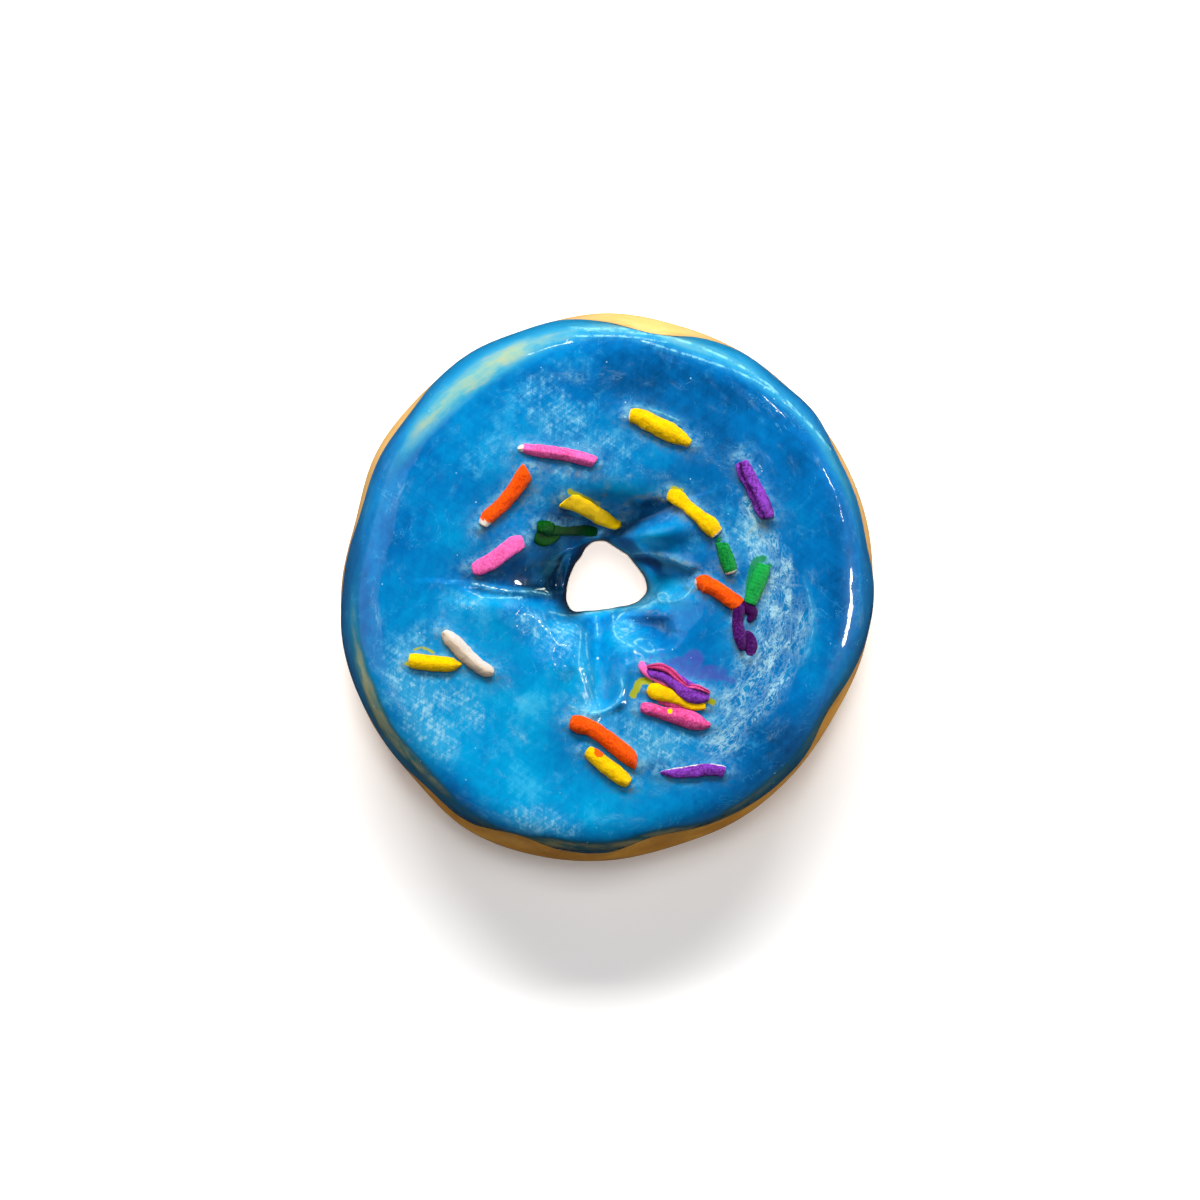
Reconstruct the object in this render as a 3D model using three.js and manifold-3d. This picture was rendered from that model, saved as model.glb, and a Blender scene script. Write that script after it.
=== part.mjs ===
// A hand-made ceramic ring doughnut: a rounded body with a pinched, three-cornered hole, a coat of
// icing over its top, and twenty rolled sprinkles fused to the icing.
//
// Millimetres, +Z up. The origin is on the surface it stands on, under the middle of its bounding box.
// Round the ring, angles run anticlockwise from +X, seen from above.

import * as THREE from 'three';
import { mergeVertices } from 'three/addons/utils/BufferGeometryUtils.js';
import Module from 'manifold-3d';

// ---------------------------------------------------------------- driving sizes

const EQUATOR_HEIGHT = 13; // the widest line round the side
const TOP_HEIGHT = 27; // the top, before its crown and its dents
const CROWN = 0.9; // how much the middle of the ring's top rises
const THROAT_HEIGHT = 12; // the narrowest level of the hole

const SHOULDER_WIDTH = 9; // from the outline in to the level top
const SHOULDER_SQUARENESS = 2.5; // 2 is an ellipse, more is squarer
const FUNNEL_WIDTH = 12; // from the hole out to the level top
const FUNNEL_SQUARENESS = 1.9;
const UNDER_WIDTH = 9; // from the outline in to the flat base
const UNDER_SQUARENESS = 2.3;
const FLARE_WIDTH = 4; // from the hole out to the flat base
const FLARE_SQUARENESS = 2;

const ICING_THICKNESS = 1.6;
const ICING_EDGE_THICKNESS = 0.7;
const ICING_EDGE_TAPER = 0.12; // share of the icing's width over which its edge thins
const ICING_EDGE_LOWEST = 17; // height of the icing's edge where the body doesn't show past it
const ICING_EDGE_LIFT = 1.4; // how much higher the edge lies for each millimetre of body that shows
const SEAM = 0.3; // clearance between icing and body

// Radius of the outline, from the origin, every 15 degrees.
const OUTLINE_RADII = [
  49.4, 49.9, 50.0, 50.1, 50.4, 50.5, 51.0, 50.3, 50.1, 49.8, 49.7, 48.4,
  49.4, 50.1, 50.5, 50.6, 52.1, 51.7, 50.9, 49.8, 49.7, 49.1, 48.6, 49.2,
];

// The hole's middle, and its radius from there every 15 degrees: a triangle with soft corners.
const HOLE_CENTRE = new THREE.Vector2(-0.5, 1.4);
const HOLE_RADII = [
  7.7, 6.9, 6.4, 6.4, 6.3, 6.6, 7.3, 7.4, 6.9, 6.2, 6.2, 6.3,
  6.7, 7.3, 8.1, 8.2, 6.7, 6.0, 5.6, 5.6, 5.8, 6.6, 7.6, 8.2,
];

// How far the body shows past the icing, seen from above, every 10 degrees.
const BODY_SHOWING = [
  0.2, 1.3, 1.2, 1.1, 0.1, 0.6, 0.5, 1.6, 4.0, 2.4, 0.6, 0.4,
  0.1, 0.5, 1.5, 1.5, 1.2, 0.7, 0.7, 0.2, 0.3, 0.6, 0.5, 1.4,
  2.0, 4.0, 2.5, 2.1, 3.8, 2.6, 1.9, 1.2, 1.0, 2.0, 1.2, 0.4,
];

const RELIEF_FROM_OUTLINE = 1; // the dents fade in from this far inside the outline
const RELIEF_FROM_HOLE = 2.5; // and reach their full depth this far from the hole

// Hand-worked dents and folds of the top. Each follows a line on the plan from one point to another,
// its depth changing evenly along it; left and right are its half widths on either side of that line.
// A fold that stands up has a negative depth.
const DENTS = [
  { from: [-25, 0.8], to: [-9, 0], depth: [1.2, 4.4], left: 6, right: 1.7 }, // left pocket
  { from: [-23, -3.4], to: [-12, -5.6], depth: [-0.5, -1.4], left: 1.6, right: 4 }, // ridge below it
  { from: [-11.5, 8], to: [-10.5, 0], depth: [1, 0.7], left: 3, right: 3.5 }, // slope left of the hole
  { from: [-1, 9.5], to: [11.5, 14.5], depth: [4.6, 1.6], left: 4.6, right: 1.6 }, // valley behind the hole
  { from: [4.5, 8.4], to: [14, 10.5], depth: [-2.6, -1], left: 2.2, right: 2.2 }, // lobe beside the valley
  { from: [5.5, 6.4], to: [15, 3.6], depth: [-1.2, -0.6], left: 1.3, right: 0.9 }, // crest of the fold
  { from: [6, 3.2], to: [15, 1.4], depth: [3.2, 1.1], left: 1.9, right: 2.2 }, // fold right of the hole
  { from: [8, -2], to: [14.5, -2.4], depth: [-1.3, -0.6], left: 1.4, right: 1.6 }, // rib under the fold
  { from: [2.5, -4.8], to: [10.5, -5.2], depth: [-1.1, -0.8], left: 1.1, right: 0.9 }, // crest of the mark
  { from: [4.8, -7.4], to: [9.6, -7.8], depth: [3.2, 2.6], left: 2, right: 2.4 }, // thumb mark
  { from: [-2.2, -4.5], to: [-1.6, -20], depth: [3.8, 2.4], left: 3.2, right: 1.8 }, // channel in front
  { from: [-6.4, -5.5], to: [-6.8, -14], depth: [-1.6, -0.8], left: 1.6, right: 3 }, // its left lip
  { from: [3.4, -14.5], to: [2.4, -20.5], depth: [-0.5, -0.9], left: 1, right: 1.2 }, // its right rim
  { from: [2, -21.5], to: [-2.5, -23.2], depth: [-0.9, -0.8], left: 1, right: 1 }, // its front rim
  { from: [-20, 14], to: [-10, 13], depth: [0.5, 1.4], left: 5, right: 4 }, // hollow at the upper left
  { from: [30, 8], to: [32, -14], depth: [0.8, 0.8], left: 7, right: 6 }, // soft dip on the right
  { from: [-22, -24], to: [-8, -34], depth: [0.7, 0.7], left: 7, right: 7 }, // soft dip at the bottom left
];

// Sprinkles: the plan of each axis end, the width at the start, middle and end, how far the middle bows
// to the left of the line from start to end, and how far one that lies on another is lifted.
const SPRINKLES = [
  { from: [3.9, 31.1], to: [15.2, 25.9], widths: [2.4, 3.4, 1.6], bow: 0.5 }, // yellow
  { from: [-16.3, 25], to: [-2, 22.6], widths: [1, 2.4, 2.1], bow: 0.4 }, // pink
  { from: [-14.3, 21.3], to: [-22.7, 10.9], widths: [2.8, 2.9, 1.7], bow: 0.1 }, // orange
  { from: [-13, 9.9], to: [-1.7, 10.5], widths: [4.4, 2.4, 2.4], bow: 0 }, // green
  { from: [-7.9, 15.6], to: [2.7, 11.3], widths: [2.6, 3, 1.4], bow: 0.1, lift: 1.1 }, // yellow
  { from: [-24.7, 3.2], to: [-15, 8.3], widths: [2.3, 3, 2.5], bow: 0 }, // pink
  { from: [10.8, 16.9], to: [20.2, 9.5], widths: [2.7, 2.4, 3], bow: 0.4 }, // yellow
  { from: [20.6, 8.2], to: [22.6, 2.4], widths: [2.3, 2.8, 2.1], bow: 0 }, // green
  { from: [24.4, 22.8], to: [29.2, 12.3], widths: [2.6, 3.3, 2.6], bow: 0 }, // purple
  { from: [15.9, 0.6], to: [24.3, -3.4], widths: [2.8, 3, 2.5], bow: 0.3 }, // orange
  { from: [28.6, 4.2], to: [25.9, -3.2], widths: [2.9, 3, 2.4], bow: 0 }, // green
  { from: [23.8, -3], to: [24.5, -11.6], widths: [2.4, 2.3, 1.6], bow: -0.4, lift: 0.3 }, // purple
  { from: [25.3, -3.4], to: [26.1, -5.8], widths: [2.2, 2.6, 2], bow: 0 }, // purple lobe
  { from: [25.5, -8.3], to: [26.1, -12.5], widths: [1.9, 2.6, 1.6], bow: 0 }, // purple lobe
  { from: [-36.1, -13.4], to: [-26.3, -14.1], widths: [2.6, 2.9, 1], bow: -0.1 }, // yellow
  { from: [-29.8, -8.1], to: [-20.4, -15.6], widths: [2, 3, 2.1], bow: -0.5 }, // white
  { from: [7, -14.8], to: [18.7, -20], widths: [2.2, 3.4, 2.6], bow: -0.1 }, // purple
  { from: [7.2, -18.3], to: [17.9, -21.8], widths: [2.6, 2.4, 1.6], bow: -0.2, lift: 0.2 }, // yellow
  { from: [6, -22], to: [18.8, -25.1], widths: [2.1, 2.9, 1.4], bow: 0.1 }, // pink
  { from: [-6.8, -24.4], to: [5.5, -32.5], widths: [2.9, 3.1, 2.2], bow: 1 }, // orange
  { from: [-3.9, -29.7], to: [4.1, -35.9], widths: [2.3, 3, 2.4], bow: 0.1 }, // yellow
  { from: [9.6, -33.8], to: [21.5, -33.6], widths: [0.8, 2.4, 2.3], bow: 0.4 }, // purple
];
const SPRINKLE_SIDES = 8;
const SPRINKLE_STEPS = 4;
const SPRINKLE_FLATNESS = 0.82; // height over width
const SPRINKLE_SUNK = 0.22; // share of its height below the icing's surface
const SPRINKLE_CHAMFER = 0.72; // the size of an end face, against the ring next to it
const SPRINKLE_CHAMFER_LENGTH = 0.3;

// ---------------------------------------------------------------- mesh density

const ROUND_STEPS = 72; // round the ring
const SIDE_STEPS = 2; // from the equator up to the icing's edge
const SHOULDER_STEPS = 5;
const LEVEL_STEPS = 5;
const LEVEL_CROWDING = 1.5; // over 1 crowds the level part's steps towards the funnel
const FUNNEL_STEPS = 6;
const UNDER_STEPS = 6;
const FLARE_STEPS = 3;

// ---------------------------------------------------------------- the body's form

const QUARTER = Math.PI / 2;
const TURN = 2 * Math.PI;
const { clamp, euclideanModulo, lerp, smoothstep } = THREE.MathUtils;

/** A smooth closed curve through evenly spaced values, as a function of the angle. */
function closedCurve(values) {
  const count = values.length;
  const valueAt = (index) => values[(index + count) % count];
  return (angle) => {
    const place = euclideanModulo(angle / (TURN), 1) * count;
    const index = Math.floor(place);
    const t = place - index;
    const [before, start, end, after] = [-1, 0, 1, 2].map((offset) => valueAt(index + offset));
    const slopeIn = (end - before) / 2;
    const slopeOut = (after - start) / 2;
    const bend = 2 * (start - end) + slopeIn + slopeOut;
    const lean = 3 * (end - start) - 2 * slopeIn - slopeOut;
    return ((bend * t + lean) * t + slopeIn) * t + start;
  };
}

const outlineRadius = closedCurve(OUTLINE_RADII);
const holeRadius = closedCurve(HOLE_RADII);
const bodyShowing = closedCurve(BODY_SHOWING);

function outlinePoint(angle) {
  const radius = outlineRadius(angle);
  return new THREE.Vector2(Math.cos(angle) * radius, Math.sin(angle) * radius);
}

function holePoint(angle) {
  const radius = holeRadius(angle);
  return new THREE.Vector2(Math.cos(angle) * radius, Math.sin(angle) * radius).add(HOLE_CENTRE);
}

/** Distance from the hole's edge to the outline at an angle. */
function ringWidth(angle) {
  return outlinePoint(angle).distanceTo(holePoint(angle));
}

/** A quarter of a squared-off ellipse: 0 is the upright end, a quarter turn is the level end. */
function roundedQuarter(turn, squareness) {
  const power = 2 / squareness;
  return { inward: 1 - Math.cos(turn) ** power, rise: Math.sin(turn) ** power };
}

/** Depth of every dent at a place on the plan, folds counting as negative. */
function dentDepth(x, y) {
  let total = 0;
  for (const { from, to, depth, left, right } of DENTS) {
    const along = new THREE.Vector2(to[0] - from[0], to[1] - from[1]);
    const offset = new THREE.Vector2(x - from[0], y - from[1]);
    const share = clamp(offset.dot(along) / along.lengthSq(), 0, 1);
    const side = along.cross(offset) > 0 ? left : right;
    const distance = offset.addScaledVector(along, -share).length() / side;
    total += lerp(depth[0], depth[1], share) * Math.exp(-distance * distance);
  }
  return total;
}

/** Dents and crown of the top, fading out towards the side and the hole's throat. */
function reliefAt(x, y, fromOutline, fromHole) {
  const fade = smoothstep(fromOutline, RELIEF_FROM_OUTLINE, SHOULDER_WIDTH)
    * smoothstep(fromHole, 0, RELIEF_FROM_HOLE);
  const middle = Math.sin(Math.PI * fromHole / (fromHole + fromOutline));
  return fade * (CROWN * middle - dentDepth(x, y));
}

/** Height and turn of the icing's edge, and how far the side leans so that the body shows past it. */
function icingEdge(angle) {
  const showing = Math.max(0, bodyShowing(angle));
  const height = ICING_EDGE_LOWEST + ICING_EDGE_LIFT * showing;
  const share = (height - EQUATOR_HEIGHT) / (TOP_HEIGHT - EQUATOR_HEIGHT);
  const turn = Math.asin(share ** (SHOULDER_SQUARENESS / 2));
  const plain = SHOULDER_WIDTH * roundedQuarter(turn, SHOULDER_SQUARENESS).inward;
  return { height, turn, lean: (showing - plain) / leanShare(share) };
}

function leanShare(share) {
  return (4 * share * (1 - share)) ** 2;
}

/** A point of the ring at an angle, a distance in from the outline and a height. */
function ringPoint(angle, fromOutline, height) {
  const share = fromOutline / ringWidth(angle);
  const plan = outlinePoint(angle).lerp(holePoint(angle), share);
  return new THREE.Vector3(plan.x, plan.y, height);
}

/** The outer side above the equator and the shoulder; turn runs from 0 at the equator to a quarter. */
function shoulderPoint(angle, turn) {
  const { inward, rise } = roundedQuarter(turn, SHOULDER_SQUARENESS);
  const fromOutline = SHOULDER_WIDTH * inward + icingEdge(angle).lean * leanShare(rise);
  return ringPoint(angle, fromOutline, lerp(EQUATOR_HEIGHT, TOP_HEIGHT, rise));
}

function levelPoint(angle, share) {
  const crowded = 1 - (1 - share) ** LEVEL_CROWDING;
  const fromOutline = lerp(SHOULDER_WIDTH, ringWidth(angle) - FUNNEL_WIDTH, crowded);
  return ringPoint(angle, fromOutline, TOP_HEIGHT);
}

/** The hole's wall above its throat; turn runs from 0 at the throat to a quarter at the level top. */
function funnelPoint(angle, turn) {
  const { inward, rise } = roundedQuarter(turn, FUNNEL_SQUARENESS);
  const fromOutline = ringWidth(angle) - FUNNEL_WIDTH * inward;
  return ringPoint(angle, fromOutline, lerp(THROAT_HEIGHT, TOP_HEIGHT, rise));
}

/** The outer side below the equator; turn runs from 0 at the equator to a quarter at the base. */
function underPoint(angle, turn) {
  const { inward, rise } = roundedQuarter(turn, UNDER_SQUARENESS);
  return ringPoint(angle, UNDER_WIDTH * inward, EQUATOR_HEIGHT * (1 - rise));
}

/** The hole's wall below its throat; turn runs from 0 at the throat to a quarter at the base. */
function flarePoint(angle, turn) {
  const { inward, rise } = roundedQuarter(turn, FLARE_SQUARENESS);
  return ringPoint(angle, ringWidth(angle) - FLARE_WIDTH * inward, THROAT_HEIGHT * (1 - rise));
}

/** The undented top from the icing's edge (0) over the shoulder and the level part to the throat (1). */
function plainTopPoint(angle, share) {
  const steps = SHOULDER_STEPS + LEVEL_STEPS + FUNNEL_STEPS;
  const place = share * steps;
  if (place <= SHOULDER_STEPS) {
    return shoulderPoint(angle, lerp(icingEdge(angle).turn, QUARTER, place / SHOULDER_STEPS));
  }
  if (place <= SHOULDER_STEPS + LEVEL_STEPS) {
    return levelPoint(angle, (place - SHOULDER_STEPS) / LEVEL_STEPS);
  }
  return funnelPoint(angle, (steps - place) / FUNNEL_STEPS * QUARTER);
}

/** The top with its crown and dents. */
function topPoint(angle, share) {
  const point = plainTopPoint(angle, share);
  const plan = new THREE.Vector2(point.x, point.y);
  const fromOutline = plan.distanceTo(outlinePoint(angle));
  point.z += reliefAt(point.x, point.y, fromOutline, ringWidth(angle) - fromOutline);
  return point;
}

/** Directions of the undented top: across the ring towards the hole, and out of the surface. */
function topFrame(angle, share) {
  const nudge = 1e-3;
  const [lower, upper] = [Math.max(0, share - nudge), Math.min(1, share + nudge)];
  const across = plainTopPoint(angle, upper).sub(plainTopPoint(angle, lower)).normalize();
  const around = plainTopPoint(angle + nudge, share).sub(plainTopPoint(angle - nudge, share));
  const outward = around.cross(across).normalize();
  return { across, outward };
}

/** How thick the icing is, thinner at its two edges. */
function icingThickness(share) {
  const toEdge = Math.min(share, 1 - share) / ICING_EDGE_TAPER;
  return lerp(ICING_EDGE_THICKNESS, ICING_THICKNESS, smoothstep(toEdge, 0, 1));
}

/** A point under the top surface, at a depth below it. */
function buriedPoint(angle, share, depth) {
  return topPoint(angle, share).addScaledVector(topFrame(angle, share).outward, -depth);
}

// ---------------------------------------------------------------- sections and solids

function shares(steps) {
  return Array.from({ length: steps + 1 }, (_, index) => index / steps);
}

const TOP_SHARES = shares(SHOULDER_STEPS + LEVEL_STEPS + FUNNEL_STEPS);

function icingSection(angle) {
  const upper = TOP_SHARES.map((share) => topPoint(angle, share));
  const lower = TOP_SHARES.map((share) => buriedPoint(angle, share, icingThickness(share)));
  return [...upper, ...lower.reverse()];
}

function doughSection(angle) {
  const edge = icingEdge(angle);
  const sideTop = edge.turn * (1 - SEAM / (edge.height - EQUATOR_HEIGHT));
  const base = shares(UNDER_STEPS).slice(1).reverse().map((share) => underPoint(angle, share * QUARTER));
  const side = shares(SIDE_STEPS).map((share) => shoulderPoint(angle, share * sideTop));
  const buried = TOP_SHARES.map((share) => buriedPoint(angle, share, icingThickness(share) + SEAM));
  const outerStep = buried[0].clone().addScaledVector(topFrame(angle, 0).across, -SEAM);
  const innerStep = buried.at(-1).clone().add(new THREE.Vector3(0, 0, -SEAM));
  const throatTurn = Math.asin((SEAM / THROAT_HEIGHT) ** (FLARE_SQUARENESS / 2));
  const wall = shares(FLARE_STEPS).map((share) => {
    return flarePoint(angle, lerp(throatTurn, QUARTER, share));
  });
  return [...base, ...side, outerStep, ...buried, innerStep, ...wall];
}

/**
 * A closed ring through equal sections, each a closed loop of points. From the place crossedFrom on, quads
 * are split along their other diagonal, so that a buried face that runs backwards matches the one it meets.
 */
function ringGeometry(sectionAt, crossedFrom = Infinity) {
  const sections = Array.from({ length: ROUND_STEPS }, (_, index) => sectionAt(index / ROUND_STEPS * TURN));
  const size = sections[0].length;
  const positions = sections.flat().flatMap((point) => point.toArray());
  const indices = [];
  for (let round = 0; round < ROUND_STEPS; round += 1) {
    const next = (round + 1) % ROUND_STEPS;
    for (let place = 0; place < size; place += 1) {
      const after = (place + 1) % size;
      const here = round * size;
      const there = next * size;
      const corners = [here + place, there + place, there + after, here + after];
      const order = place < crossedFrom ? [0, 1, 2, 0, 2, 3] : [0, 1, 3, 1, 2, 3];
      indices.push(...order.map((corner) => corners[corner]));
    }
  }
  return indexedGeometry(positions, indices);
}

function indexedGeometry(positions, indices) {
  const geometry = new THREE.BufferGeometry();
  geometry.setAttribute('position', new THREE.Float32BufferAttribute(positions, 3));
  geometry.setIndex(indices);
  return geometry;
}

const PLACE_PASSES = 8; // rounds that settle where a place on the plan lies on the ring

/** Height of the top at a place on the plan that lies on its level part or in its funnel. */
function topHeight(x, y) {
  const place = new THREE.Vector2(x, y);
  let centre = new THREE.Vector2();
  let angle = 0;
  let fromHole = 0;
  for (let pass = 0; pass < PLACE_PASSES; pass += 1) {
    angle = place.clone().sub(centre).angle();
    fromHole = place.clone().sub(holePoint(angle)).length();
    centre = HOLE_CENTRE.clone().multiplyScalar(1 - fromHole / ringWidth(angle));
  }
  const inFunnel = Math.min(1, fromHole / FUNNEL_WIDTH);
  const turn = Math.acos((1 - inFunnel) ** (FUNNEL_SQUARENESS / 2));
  const plain = lerp(THROAT_HEIGHT, TOP_HEIGHT, roundedQuarter(turn, FUNNEL_SQUARENESS).rise);
  return plain + reliefAt(x, y, ringWidth(angle) - fromHole, fromHole);
}

/** One sprinkle: a bowed bar with flattened round sections, and a chamfered face at each end. */
function sprinkleGeometry({ from, to, widths, bow, lift = 0 }) {
  const start = new THREE.Vector2(...from);
  const run = new THREE.Vector2(...to).sub(start);
  const sideways = new THREE.Vector2(-run.y, run.x).normalize();
  const chamfer = SPRINKLE_CHAMFER_LENGTH / run.length();
  const inner = shares(SPRINKLE_STEPS - 1).map((share) => lerp(chamfer, 1 - chamfer, share));
  const rings = [0, ...inner, 1].map((share) => {
    const bulge = 4 * share * (1 - share);
    const half = share < 0.5 ? [widths[0], widths[1]] : [widths[2], widths[1]];
    const isEnd = share === 0 || share === 1;
    const width = lerp(half[0], half[1], Math.sqrt(bulge)) * (isEnd ? SPRINKLE_CHAMFER : 1);
    const plan = start.clone().addScaledVector(run, share).addScaledVector(sideways, bow * bulge);
    const height = SPRINKLE_FLATNESS * width;
    const middle = topHeight(plan.x, plan.y) + lift + height * (0.5 - SPRINKLE_SUNK);
    return { centre: new THREE.Vector3(plan.x, plan.y, middle), width, height };
  });
  return barGeometry(rings, sideways);
}

/** A closed bar through elliptical rings that stand across one plan direction. */
function barGeometry(rings, sideways) {
  const across = new THREE.Vector3(sideways.x, sideways.y, 0);
  const turns = Array.from({ length: SPRINKLE_SIDES }, (_, side) => (side + 0.5) / SPRINKLE_SIDES * TURN);
  const corners = rings.flatMap(({ centre, width, height }) => turns.map((turn) => {
    const corner = centre.clone().addScaledVector(across, Math.cos(turn) * width / 2);
    corner.z += Math.sin(turn) * height / 2;
    return corner;
  }));
  const points = [...corners, rings[0].centre, rings.at(-1).centre];
  const indices = [];
  for (let side = 0; side < SPRINKLE_SIDES; side += 1) {
    const next = (side + 1) % SPRINKLE_SIDES;
    for (let ring = 0; ring + 1 < rings.length; ring += 1) {
      const [here, there] = [ring * SPRINKLE_SIDES, (ring + 1) * SPRINKLE_SIDES];
      indices.push(here + side, here + next, there + next, here + side, there + next, there + side);
    }
    const last = (rings.length - 1) * SPRINKLE_SIDES;
    indices.push(corners.length, next, side, corners.length + 1, last + side, last + next);
  }
  return indexedGeometry(points.flatMap((point) => point.toArray()), indices);
}

// ---------------------------------------------------------------- joining

const wasm = await Module();
wasm.setup();

function toManifold(geometry) {
  const closed = mergeVertices(geometry);
  return new wasm.Manifold(new wasm.Mesh({
    numProp: 3,
    vertProperties: new Float32Array(closed.attributes.position.array),
    triVerts: new Uint32Array(closed.index.array),
  }));
}

function toGeometry(manifold) {
  const { vertProperties, triVerts } = manifold.getMesh();
  return indexedGeometry(Array.from(vertProperties), Array.from(triVerts));
}

/** The icing with every sprinkle fused to it. */
function icingWithSprinkles() {
  const coat = toManifold(ringGeometry(icingSection, TOP_SHARES.length));
  const sprinkles = SPRINKLES.map((sprinkle) => toManifold(sprinkleGeometry(sprinkle)));
  return toGeometry(sprinkles.reduce((solid, sprinkle) => solid.add(sprinkle), coat));
}

// ---------------------------------------------------------------- the model

function glazed(colour, roughness) {
  return new THREE.MeshStandardMaterial({ color: colour, roughness, metalness: 0 });
}

function namedMesh(name, geometry, material) {
  geometry.computeVertexNormals();
  const mesh = new THREE.Mesh(geometry, material);
  mesh.name = name;
  return mesh;
}

const group = new THREE.Group();
group.add(namedMesh('dough', ringGeometry(doughSection), glazed('#d9a044', 0.2)));
group.add(namedMesh('icing', icingWithSprinkles(), glazed('#0a78c2', 0.12)));

export default group;
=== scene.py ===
import math
from itertools import product
from types import SimpleNamespace

import bpy
import numpy as np
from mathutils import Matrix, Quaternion, Vector


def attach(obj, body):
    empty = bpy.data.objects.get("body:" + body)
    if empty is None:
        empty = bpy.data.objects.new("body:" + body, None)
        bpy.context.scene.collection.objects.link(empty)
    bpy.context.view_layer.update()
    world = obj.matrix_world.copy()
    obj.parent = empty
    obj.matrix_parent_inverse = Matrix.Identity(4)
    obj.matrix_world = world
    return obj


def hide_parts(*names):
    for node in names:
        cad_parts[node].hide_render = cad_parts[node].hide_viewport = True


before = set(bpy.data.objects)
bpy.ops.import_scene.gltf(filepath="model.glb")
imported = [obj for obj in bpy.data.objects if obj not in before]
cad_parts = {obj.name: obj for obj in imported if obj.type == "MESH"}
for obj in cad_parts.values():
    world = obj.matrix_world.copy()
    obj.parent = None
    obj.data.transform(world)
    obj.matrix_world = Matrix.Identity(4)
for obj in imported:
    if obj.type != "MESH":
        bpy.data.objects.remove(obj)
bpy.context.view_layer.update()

# A hand-made ceramic ring doughnut: a tan glazed body, a coat of blue glaze over its top, and
# twenty clay sprinkles painted by hand. Lengths are millimetres until a mesh is made.

MM = 0.001
TURN = 2 * math.pi
QUARTER = math.pi / 2
FAR = 3  # distances that colours follow are kept up to here

# ---------------- sizes shared with the solids

EQUATOR_HEIGHT = 13
TOP_HEIGHT = 27
CROWN = 0.9
THROAT_HEIGHT = 12
SHOULDER_WIDTH = 9
SHOULDER_SQUARENESS = 2.5
FUNNEL_WIDTH = 12
FUNNEL_SQUARENESS = 1.9
UNDER_WIDTH = 9
UNDER_SQUARENESS = 2.3
FLARE_WIDTH = 4
FLARE_SQUARENESS = 2
ICING_THICKNESS = 1.6
ICING_EDGE_LOWEST = 17
ICING_EDGE_LIFT = 1.4

OUTLINE_RADII = [
    49.4, 49.9, 50.0, 50.1, 50.4, 50.5, 51.0, 50.3, 50.1, 49.8, 49.7, 48.4,
    49.4, 50.1, 50.5, 50.6, 52.1, 51.7, 50.9, 49.8, 49.7, 49.1, 48.6, 49.2,
]
HOLE_CENTRE = np.array([-0.5, 1.4])
HOLE_RADII = [
    7.7, 6.9, 6.4, 6.4, 6.3, 6.6, 7.3, 7.4, 6.9, 6.2, 6.2, 6.3,
    6.7, 7.3, 8.1, 8.2, 6.7, 6.0, 5.6, 5.6, 5.8, 6.6, 7.6, 8.2,
]
BODY_SHOWING = [
    0.2, 1.3, 1.2, 1.1, 0.1, 0.6, 0.5, 1.6, 4.0, 2.4, 0.6, 0.4,
    0.1, 0.5, 1.5, 1.5, 1.2, 0.7, 0.7, 0.2, 0.3, 0.6, 0.5, 1.4,
    2.0, 4.0, 2.5, 2.1, 3.8, 2.6, 1.9, 1.2, 1.0, 2.0, 1.2, 0.4,
]
RELIEF_FROM_OUTLINE = 1
RELIEF_FROM_HOLE = 2.5

# Dents of the top: start, end, depth at each, half width to the left and right. A fold is negative.
DENTS = [
    ((-25, 0.8), (-9, 0), (1.2, 4.4), 6, 1.7),  # left pocket
    ((-23, -3.4), (-12, -5.6), (-0.5, -1.4), 1.6, 4),  # ridge under the pocket
    ((-11.5, 8), (-10.5, 0), (1, 0.7), 3, 3.5),  # slope down to the hole's left side
    ((-1, 9.5), (11.5, 14.5), (4.6, 1.6), 4.6, 1.6),  # valley behind the hole
    ((4.5, 8.4), (14, 10.5), (-2.6, -1), 2.2, 2.2),  # lobe beside the valley
    ((5.5, 6.4), (15, 3.6), (-1.2, -0.6), 1.3, 0.9),  # crest of the fold
    ((6, 3.2), (15, 1.4), (3.2, 1.1), 1.9, 2.2),  # fold right of the hole
    ((8, -2), (14.5, -2.4), (-1.3, -0.6), 1.4, 1.6),  # rib under the fold
    ((2.5, -4.8), (10.5, -5.2), (-1.1, -0.8), 1.1, 0.9),  # crest over the thumb mark
    ((4.8, -7.4), (9.6, -7.8), (3.2, 2.6), 2, 2.4),  # thumb mark
    ((-2.2, -4.5), (-1.6, -20), (3.8, 2.4), 3.2, 1.8),  # channel in front
    ((-6.4, -5.5), (-6.8, -14), (-1.6, -0.8), 1.6, 3),  # lip left of the channel
    ((3.4, -14.5), (2.4, -20.5), (-0.5, -0.9), 1, 1.2),  # right rim of the channel
    ((2, -21.5), (-2.5, -23.2), (-0.9, -0.8), 1, 1),  # front rim of the channel
    ((-20, 14), (-10, 13), (0.5, 1.4), 5, 4),  # hollow at the upper left
    ((30, 8), (32, -14), (0.8, 0.8), 7, 6),  # soft dip on the right
    ((-22, -24), (-8, -34), (0.7, 0.7), 7, 7),  # soft dip at the bottom left
]

# ---------------- small tools


def smoothstep(value, low, high):
    t = np.clip((value - low) / (high - low), 0, 1)
    return t * t * (3 - 2 * t)


def smooth_between(before, start, end, after, t):
    """A cubic curve from start to end that heads the way its neighbours lie."""
    slope_in = (end - before) / 2
    slope_out = (after - start) / 2
    bend = 2 * (start - end) + slope_in + slope_out
    lean = 3 * (end - start) - 2 * slope_in - slope_out
    return ((bend * t + lean) * t + slope_in) * t + start


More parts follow.
